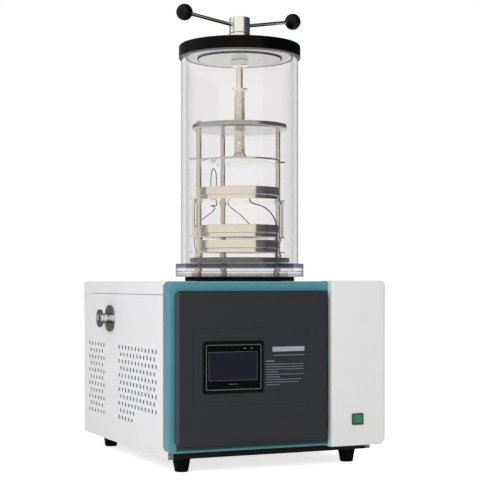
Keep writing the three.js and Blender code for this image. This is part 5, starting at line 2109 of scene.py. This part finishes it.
@dataclass
class Studio:
    """The floor, the light and the camera."""

    heading: float = 24.0  # degrees to the right of +Y
    lens: float = 97.5
    sensor: float = 36.0
    camera: tuple[float, float, float] = (-1.1871, -2.7814, 0.400)
    shift: float = 0.086  # how far the picture is shifted up, as a share of its width
    aim: float = 0.45  # height of the point that the lamps face
    setup: tuple[Lamp, ...] = (
        Lamp("key_lamp", -24, 2.4, 1.2, 1.0, 22), Lamp("fill_lamp", 38, 2.4, 1.3, 1.4, 3),
        Lamp("top_lamp", 0, 0.0, 2.6, 1.6, 12),
    )
    floor_size: float = 12.0
    floor_tone: float = 0.9
    floor_glow: float = 0.75  # how much it shines of its own to the eye
    white: Four = (1.0, 1.0, 1.0, 1.0)
    ambient: float = 0.64  # strength of the light from all round
    wall_faces: float = 2.0  # faces passed by a look that is mirrored inside the tube's wall
    shown: tuple[tuple[float, Shade], ...] = (  # the room in polished metal, by the angle from the camera
        (-180, (128, 128, 126)), (-116, (150, 150, 146)), (-108, (253, 246, 228)), (44, (253, 246, 228)),
        (50, (58, 60, 68)), (180, (48, 50, 58)),
    )

    def build(self) -> None:
        """Sets up floor, world, lamps and camera."""
        self.floor()
        self.world()
        self.lamps()
        self.place_camera()
        bpy.context.scene.view_settings.view_transform = "Standard"

    def floor(self) -> None:
        """A wide pale floor that shows white and keeps the shadow."""
        bm = bmesh.new()
        bmesh.ops.create_grid(bm, x_segments=1, y_segments=1, size=self.floor_size)
        floor = made("studio_floor", bm)
        material = bpy.data.materials.new("floor_white")
        material.use_nodes = True
        nodes = Nodes(material.node_tree)
        shader = material.node_tree.nodes["Principled BSDF"]
        shader.inputs["Base Color"].default_value = (self.floor_tone,) * 3 + (1,)
        shader.inputs["Roughness"].default_value = 0.9
        shader.inputs["Specular IOR Level"].default_value = 0.1
        glow = nodes.add("ShaderNodeEmission")
        nodes.join(nodes.math("MULTIPLY", nodes.seen(), self.floor_glow), glow.inputs["Strength"])
        both = nodes.add("ShaderNodeAddShader")
        nodes.join(shader.outputs[0], both.inputs[0])
        nodes.join(glow.outputs[0], both.inputs[1])
        nodes.join(both.outputs[0], material.node_tree.nodes["Material Output"].inputs["Surface"])
        floor.data.materials.append(material)

    def side(self, degrees: float) -> Vector:
        """A level direction, turned to the right from the line towards the camera.

        Args:
            degrees: How far it is turned.

        Returns:
            The direction.
        """
        turn = math.radians(self.heading)
        towards = Vector((-math.sin(turn), -math.cos(turn), 0))
        right = Vector((math.cos(turn), -math.sin(turn), 0))
        angle = math.radians(degrees)
        return towards * math.cos(angle) + right * math.sin(angle)

    def world(self) -> None:
        """White to the eye and through glass, and a room with a dark side in reflections."""
        world = bpy.data.worlds.new("studio_world")
        bpy.context.scene.world = world
        world.use_nodes = True
        nodes = Nodes(world.node_tree)
        world.node_tree.nodes.clear()
        path = nodes.add("ShaderNodeLightPath").outputs
        glossy = nodes.math("GREATER_THAN", path["Glossy Depth"], 0.5)
        inside_wall = nodes.math("COMPARE", path["Transmission Depth"], self.wall_faces)
        mirrored = nodes.math("MULTIPLY", glossy, nodes.math("SUBTRACT", 1.0, inside_wall))
        straight = nodes.math("MULTIPLY", nodes.seen(), nodes.math("SUBTRACT", 1.0, mirrored))
        unseen = nodes.mixed(mirrored, self.glow(nodes, self.ambient), self.room(nodes))
        light = nodes.mixed(straight, unseen, self.glow(nodes, 1.0))
        nodes.join(light, nodes.add("ShaderNodeOutputWorld").inputs["Surface"])

    def glow(self, nodes: Nodes, strength: float) -> Socket:
        """An even white light.

        Args:
            nodes: The world's nodes.
            strength: How strong it is.

        Returns:
            The light.
        """
        node = nodes.add("ShaderNodeBackground")
        node.inputs["Color"].default_value = self.white
        node.inputs["Strength"].default_value = strength
        return node.outputs[0]

    def room(self, nodes: Nodes) -> Socket:
        """The room as polished metal shows it.

        Args:
            nodes: The world's nodes.

        Returns:
            Its light.
        """
        place = nodes.add("ShaderNodeTexCoord").outputs["Generated"]
        ahead, across = (self.part(nodes, place, self.side(degrees)) for degrees in (0, 90))
        turn = nodes.math("DIVIDE", nodes.math("ARCTAN2", across, ahead), 2 * math.pi)
        marks = [(degrees / 360 + 0.5, shade) for degrees, shade in self.shown]
        node = nodes.add("ShaderNodeBackground")
        nodes.join(nodes.ramp(nodes.math("ADD", turn, 0.5), marks), node.inputs["Color"])
        return node.outputs[0]

    def part(self, nodes: Nodes, place: Socket, across: Vector) -> Socket:
        """A direction's part along another one.

        Args:
            nodes: The world's nodes.
            place: The direction.
            across: The other one.

        Returns:
            The part.
        """
        dot = nodes.add("ShaderNodeVectorMath", operation="DOT_PRODUCT")
        dot.inputs[1].default_value = across
        nodes.join(place, dot.inputs[0])
        return dot.outputs["Value"]

    def lamps(self) -> None:
        """Sets up the lamps, which light but don't show in reflections."""
        for lamp in self.setup:
            data = bpy.data.lights.new(lamp.name, "AREA")
            data.size = lamp.size
            data.energy = lamp.power
            light = bpy.data.objects.new(lamp.name, data)
            light.location = self.side(lamp.turn) * lamp.distance + Vector((0, 0, lamp.height))
            light.visible_glossy = light.visible_transmission = False
            aim = Vector((0, 0, self.aim)) - light.location
            light.rotation_euler = aim.to_track_quat("-Z", "Y").to_euler()
            bpy.context.scene.collection.objects.link(light)

    def place_camera(self) -> None:
        """A level camera at the front left."""
        data = bpy.data.cameras.new("camera")
        data.lens = self.lens
        data.sensor_width = self.sensor
        data.shift_y = self.shift
        data.clip_end = 50
        camera = bpy.data.objects.new("camera", data)
        camera.location = self.camera
        camera.rotation_euler = (math.radians(90), 0, math.radians(-self.heading))
        bpy.context.scene.collection.objects.link(camera)
        bpy.context.scene.camera = camera


# ------------------------ main


def corners(bounds: Sequence[Vector]) -> list[list[float]]:
    """A box as plain lists of numbers."""
    return [list(corner) for corner in bounds]


def main() -> None:
    """Builds the studio and every sub-assembly."""
    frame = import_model()
    Studio().build()
    Leads().build()
    assemblies: list[SubAssembly] = [
        Feet(), Housing(), PowerInlet(), Fascia(), TouchScreen(), PowerSwitch(), VacuumPort(),
        Inside(frame["nodes"]), Chamber(), TrayRack(), StopperingPress(), THandle(),
    ]
    for assembly in assemblies:
        LOG.info("building %s", type(assembly).__name__)
        assembly.build()


if __name__ == "__main__":
    logging.basicConfig(level=logging.INFO, format="%(levelname)s %(message)s")
    main()
